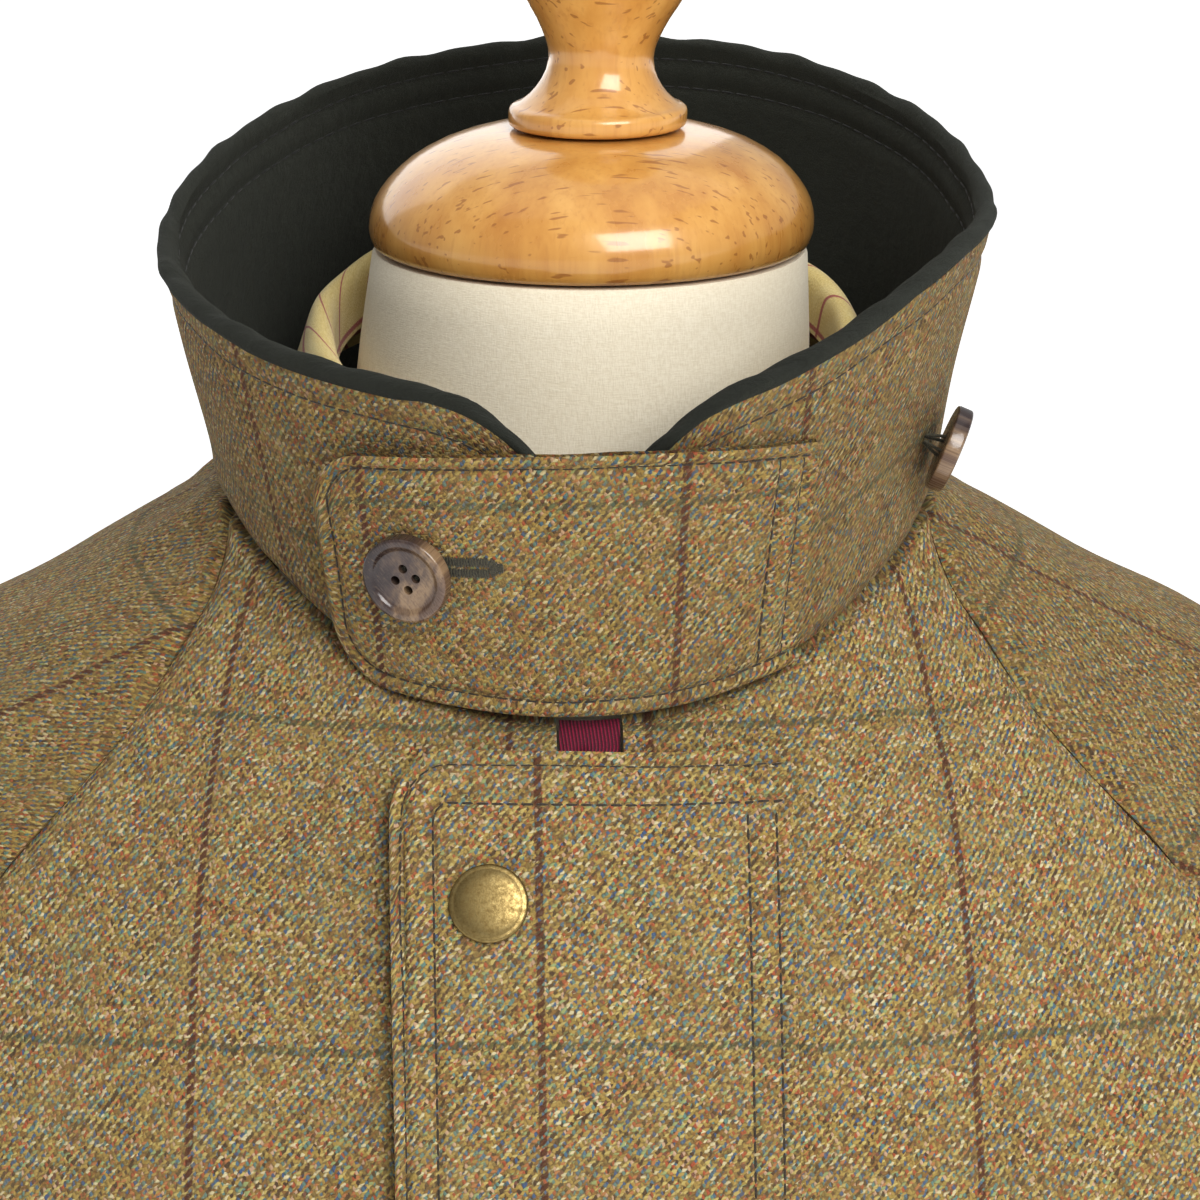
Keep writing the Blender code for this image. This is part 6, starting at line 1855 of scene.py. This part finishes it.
@dataclass
class FrontZip:
    """The zip's tape, teeth and slider, and the ribbon folded over its top."""

    finishes: Finishes
    half_width: float = 0.014
    top_drop: float = 0.004
    tooth_pitch: float = 0.0028
    tooth: tuple = (0.003, 0.0013, 0.0016)
    tooth_side: float = 0.0011
    ribbon_half_width: float = 0.0064
    ribbon_rise: float = 0.009
    ribbon_length: float = 0.0135

    def tape(self) -> None:
        """The tape behind the fronts' edges."""
        levels = Cut.level_at(np.zeros(160), np.linspace(FLAP_TOP_Z - self.top_drop, FLAP_BOTTOM_Z, 160))
        patch = Patch(lambda x, level: Cut.over_front(x, level, -TWEED - LAY_GAP),
                      np.linspace(-self.half_width, self.half_width, 9), levels, FRONT_OUT)
        patch.u = patch.a.copy()
        cloth_piece([patch.build()], "zip_tape_cloth", "zip_tape", 0.0009, "zip_tape", self.finishes.tape,
                    flat=(0.028, 0.78), held="stretched", rests_on=["front_left_cloth"])

    def teeth(self) -> None:
        """Meshed teeth down the tape; the slider at their top gets their brass."""
        fresh()
        bpy.ops.mesh.primitive_cube_add(size=1.0)
        tooth = bpy.context.object
        tooth.scale = self.tooth
        bpy.ops.object.transform_apply(location=False, rotation=False, scale=True)
        apply(tooth, "BEVEL", width=0.0003, segments=1)
        shape, shape_faces = read_off(tooth)
        copies = []
        zs = np.arange(FLAP_TOP_Z - self.top_drop - 0.008, FLAP_BOTTOM_Z + 0.003, -0.5 * self.tooth_pitch)
        for number, z in enumerate(zs):
            x = np.array(self.tooth_side if number % 2 else -self.tooth_side)
            level = Cut.level_at(x, np.array(z))
            place = frame_at(Cut.over_front(x, level, -0.0009), Cut.front_normal(x, level))
            copies.append(np.array([(place @ Vector(corner))[:] for corner in shape]))
        thing = repeated("zip_teeth", copies, shape_faces)
        settle(thing, "zip_teeth", self.finishes.brass)
        register(thing, "antique_brass")
        for slot in FRAME["nodes"]["zip_slider"].material_slots:
            slot.material = self.finishes.brass

    def ribbon(self) -> None:
        """The ribbon, folded in the gap between tab and flap."""

        def surface(x: Array, down: Array) -> Array:
            z = FLAP_TOP_Z + self.ribbon_rise - self.ribbon_length * down
            fold = 0.0008 * np.sin(2.2 * math.pi * down + 60.0 * x) - 0.0012
            hollow = 0.0036 * np.exp(-((x + 0.0022) / 0.0021) ** 2 - ((down - 0.6 + 30.0 * x) / 0.13) ** 2)
            return Cut.over_front(x, Cut.level_at(x, z), fold - hollow)

        patch = Patch(surface, np.linspace(-self.ribbon_half_width, self.ribbon_half_width, 25),
                      np.linspace(0.0, 1.0, 31), FRONT_OUT)
        cloth_piece([patch.build()], "ribbon_cloth", "ribbon", 0.0006, "crimson_ribbon", self.finishes.ribbon,
                    0.0, 70.0, flat=(0.013, 0.018), held="folded", rests_on=["zip_tape_cloth"])

    def build(self) -> None:
        """The tape, the teeth and the ribbon."""
        self.tape()
        self.teeth()
        self.ribbon()

@dataclass
class NeckLining:
    """The pale checked cotton that stands in a soft roll inside the collar."""

    finishes: Finishes
    wall: float = 0.0012

    def build(self) -> None:
        """The roll, with the soft dents that its own weight gives it."""

        def surface(share: Array, across: Array) -> Array:
            angle = np.radians(180.0 + share * (180.0 - ROLL_OPENING))
            half_width, half_depth, rise = ROLL.at(across)
            y = ROLL_CENTRE[1] - half_depth * np.cos(angle)
            return np.stack((ROLL_CENTRE[0] + half_width * np.sin(angle), y,
                             ROLL_TOP_Z + ROLL_SLOPE * y + rise), -1)

        patch = Patch(surface, np.linspace(-1.0, 1.0, 150), np.linspace(0.0, 1.0, 40),
                      outward((1.0, 1.0, 0.0), (0.0, 0.0, 0.05)))
        patch.displace(sway(patch.u, patch.v, 0.001))
        cloth_piece([patch.build()], "neck_lining_cloth", "neck_lining", self.wall, "check_cotton",
                    self.finishes.check, 0.0, 70.0, flat=(0.3, 0.042), held="folded",
                    rests_on=["collar_wool_lining"])


# ---------------------------------------------------------------- the form and its stand
@dataclass
class DressForm:
    """The padded form in calico, its turned cap and finial, its pole and its base."""

    finishes: Finishes
    body: tuple = (             # z, half-width, half-depth, centre y
        (0.735, 0.15, 0.098, 0.004), (0.738, 0.162, 0.106, 0.004), (0.745, 0.172, 0.113, 0.004),
        (0.77, 0.1795, 0.117, 0.003), (0.8, 0.182, 0.118, 0.002), (0.85, 0.1735, 0.1125, 0.0),
        (0.9, 0.16, 0.105, -0.002), (0.94, 0.1525, 0.1025, -0.003), (0.98, 0.15, 0.102, -0.004),
        (1.03, 0.16, 0.107, -0.004), (1.08, 0.172, 0.114, -0.004), (1.12, 0.1775, 0.1135, -0.001),
        (1.16, 0.178, 0.108, 0.002), (1.19, 0.1755, 0.1005, 0.006), (1.21, 0.17, 0.094, 0.008),
        (1.23, 0.1575, 0.0865, 0.0085), (1.245, 0.142, 0.08, 0.008), (1.258, 0.1245, 0.0735, 0.007),
        (1.27, 0.108, 0.068, 0.006), (1.282, 0.0925, 0.0632, 0.0045), (1.295, 0.078, 0.0585, 0.003),
        (1.308, 0.0675, 0.0552, 0.0018), (1.32, 0.06, 0.053, 0.001), (1.332, 0.055, 0.0513, 0.0004),
        (1.345, 0.0515, 0.0505, 0.0), (1.355, 0.0502, 0.05, 0.0), (1.365, 0.0496, 0.0496, 0.0),
        (1.375, 0.0487, 0.0487, 0.0), (1.3825, 0.048, 0.048, 0.0), (1.3835, 0.0474, 0.0474, 0.0),
    )
    cap_z: float = 1.384
    cap: tuple = (              # radius, height
        (0.044, 0.0), (0.0458, 0.0001), (0.0471, 0.0004), (0.048, 0.0011), (0.0485, 0.0022),
        (0.0489, 0.0036), (0.049, 0.005), (0.0489, 0.0066), (0.0486, 0.0082), (0.048, 0.0101),
        (0.047, 0.012), (0.0455, 0.0141), (0.0436, 0.0162), (0.0413, 0.0183), (0.0385, 0.0202),
        (0.035, 0.0221), (0.031, 0.0237), (0.0269, 0.0249), (0.0225, 0.0257), (0.0165, 0.026),
        (0.006, 0.026),
    )
    finial_z: float = 1.4105
    finial: tuple = (
        (0.018, 0.0), (0.0188, 0.0002), (0.0194, 0.0007), (0.0196, 0.0014), (0.0196, 0.0034),
        (0.0194, 0.0041), (0.0188, 0.0046), (0.018, 0.0048), (0.0172, 0.0053), (0.0163, 0.006),
        (0.015, 0.0072), (0.0138, 0.0087), (0.0127, 0.0105), (0.0119, 0.0125), (0.0115, 0.015),
        (0.0117, 0.017), (0.0123, 0.019), (0.0134, 0.0215), (0.0147, 0.024), (0.0163, 0.0265),
        (0.0178, 0.029), (0.0192, 0.0316), (0.0203, 0.0345), (0.021, 0.0375), (0.0212, 0.0405),
        (0.021, 0.0438), (0.0204, 0.047), (0.0193, 0.0501), (0.0176, 0.053), (0.0153, 0.0556),
        (0.0125, 0.0575), (0.0095, 0.0589), (0.006, 0.0597), (0.002, 0.06),
    )
    base: tuple = (
        (0.172, 0.0), (0.1755, 0.0006), (0.178, 0.002), (0.1795, 0.0042), (0.18, 0.007),
        (0.1796, 0.01), (0.1785, 0.013), (0.176, 0.0158), (0.17, 0.018), (0.161, 0.0199),
        (0.15, 0.0215), (0.13, 0.0229), (0.11, 0.024), (0.085, 0.0253), (0.06, 0.027),
        (0.048, 0.0292), (0.04, 0.032), (0.0345, 0.0365), (0.03, 0.042), (0.0265, 0.049),
        (0.024, 0.056), (0.0228, 0.0588), (0.02, 0.06),
    )
    pole_radius: float = 0.014

    def turned(self, node: str, profile: Sequence[tuple[float, float]], z: float, steps: int) -> None:
        """Turn one wooden piece on the form's axis."""
        rings = [(lean_at(z + height), 0.0, radius, radius, z + height) for radius, height in profile]
        thing = loft_by_extrusion(rings, steps)
        settle(thing, f"{node}_wood", self.finishes.beech, 50.0)
        register(thing, "beech", [node])

    def build(self) -> None:
        """The form, then everything turned."""
        rings = [(lean_at(z), y, half_width, half_depth, z) for z, half_width, half_depth, y in self.body]
        thing = loft_by_extrusion(rings, 96)
        settle(thing, "form_body_cover", self.finishes.calico, 50.0)
        register(thing, "calico", ["form_body"])
        self.turned("neck_cap", self.cap, self.cap_z, 128)
        self.turned("finial", self.finial, self.finial_z, 96)
        self.turned("base", self.base, 0.0, 128)
        low, high = self.base[-1][1] + 0.0003, self.body[0][0] - 0.0003
        rings = [(self.pole_radius * 0.9, 0.0), (self.pole_radius, 0.0012)]
        rings += [(self.pole_radius * (1.0 - 0.06 * math.sin(math.pi * n / 8)), (high - low) * n / 8)
                  for n in range(1, 8)]
        rings += [(self.pole_radius, high - low - 0.0012), (self.pole_radius * 0.9, high - low)]
        self.turned("pole", rings, low, 48)


# ---------------------------------------------------------------- the studio
@dataclass
class Studio:
    """The photograph's camera, soft lights and a pale floor."""

    finishes: Finishes
    lens: float = 151.8
    eye: tuple = (-0.0387, -1.0961, 1.6018)
    target: tuple = (0.0053, 0.0, 1.3027)
    world_strength: float = 0.46
    soft_boxes: tuple = (       # name, place, aim, size, power
        ("key", (0.75, -1.85, 2.6), (0.0, 0.0, 1.3), 1.4, 52.0),
        ("top", (0.1, 0.25, 3.3), (0.0, 0.0, 1.3), 2.4, 9.0),
        ("back", (-0.9, 2.6, 2.1), (0.0, 0.0, 1.05), 3.2, 36.0),
    )

    @staticmethod
    def aimed(name: str, data: bpy.types.ID, place: Sequence[float], aim: Sequence[float]) -> Thing:
        """Put a camera or a light at a place, turned towards another."""
        thing = linked(name, data)
        run = Vector(aim) - Vector(place)
        thing.matrix_world = Matrix.Translation(Vector(place)) @ run.to_track_quat("-Z", "Y").to_matrix().to_4x4()
        return thing

    def build(self) -> None:
        """Everything that isn't part of the object; the camera has no shift and no depth of field."""
        data = bpy.data.cameras.new("camera")
        data.lens, data.sensor_width, data.sensor_fit, data.clip_end = self.lens, 36.0, "HORIZONTAL", 200.0
        bpy.context.scene.camera = self.aimed("camera", data, self.eye, self.target)
        world = bpy.data.worlds.new("studio")
        world.use_nodes = True
        sky = world.node_tree.nodes["Background"].inputs
        sky["Color"].default_value, sky["Strength"].default_value = (1.0, 1.0, 1.0, 1.0), self.world_strength
        bpy.context.scene.world = world
        for name, place, aim, size, power in self.soft_boxes:
            data = bpy.data.lights.new(name, "AREA")
            data.shape, data.size, data.energy = "SQUARE", size, power
            self.aimed(name, data, place, aim)
        fresh()
        bpy.ops.mesh.primitive_circle_add(vertices=64, radius=60.0, fill_type="NGON", location=(0.0, 0.0, -0.0005))
        floor = bpy.context.object
        settle(floor, "studio_floor", self.finishes.paper)
        bpy.context.scene.view_settings.view_transform = "Standard"
        bpy.context.scene.view_settings.gamma = 0.85


def main() -> None:
    """Build every sub-assembly."""
    logging.basicConfig(level=logging.INFO, format="%(name)s: %(message)s")
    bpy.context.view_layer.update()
    finishes = Finishes()
    Studio(finishes).build()
    Body(finishes).build()
    Sleeves(finishes).build()
    Collar(finishes).build()
    tab, flap = ThroatTab(finishes).build(), StormFlap(finishes)
    flap.build()
    Buttons(finishes).build(tab)
    PressStuds(finishes).build(flap)
    FrontZip(finishes).build()
    NeckLining(finishes).build()
    DressForm(finishes).build()
    fresh()
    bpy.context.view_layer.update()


if __name__ == "__main__":
    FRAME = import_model()
    main()
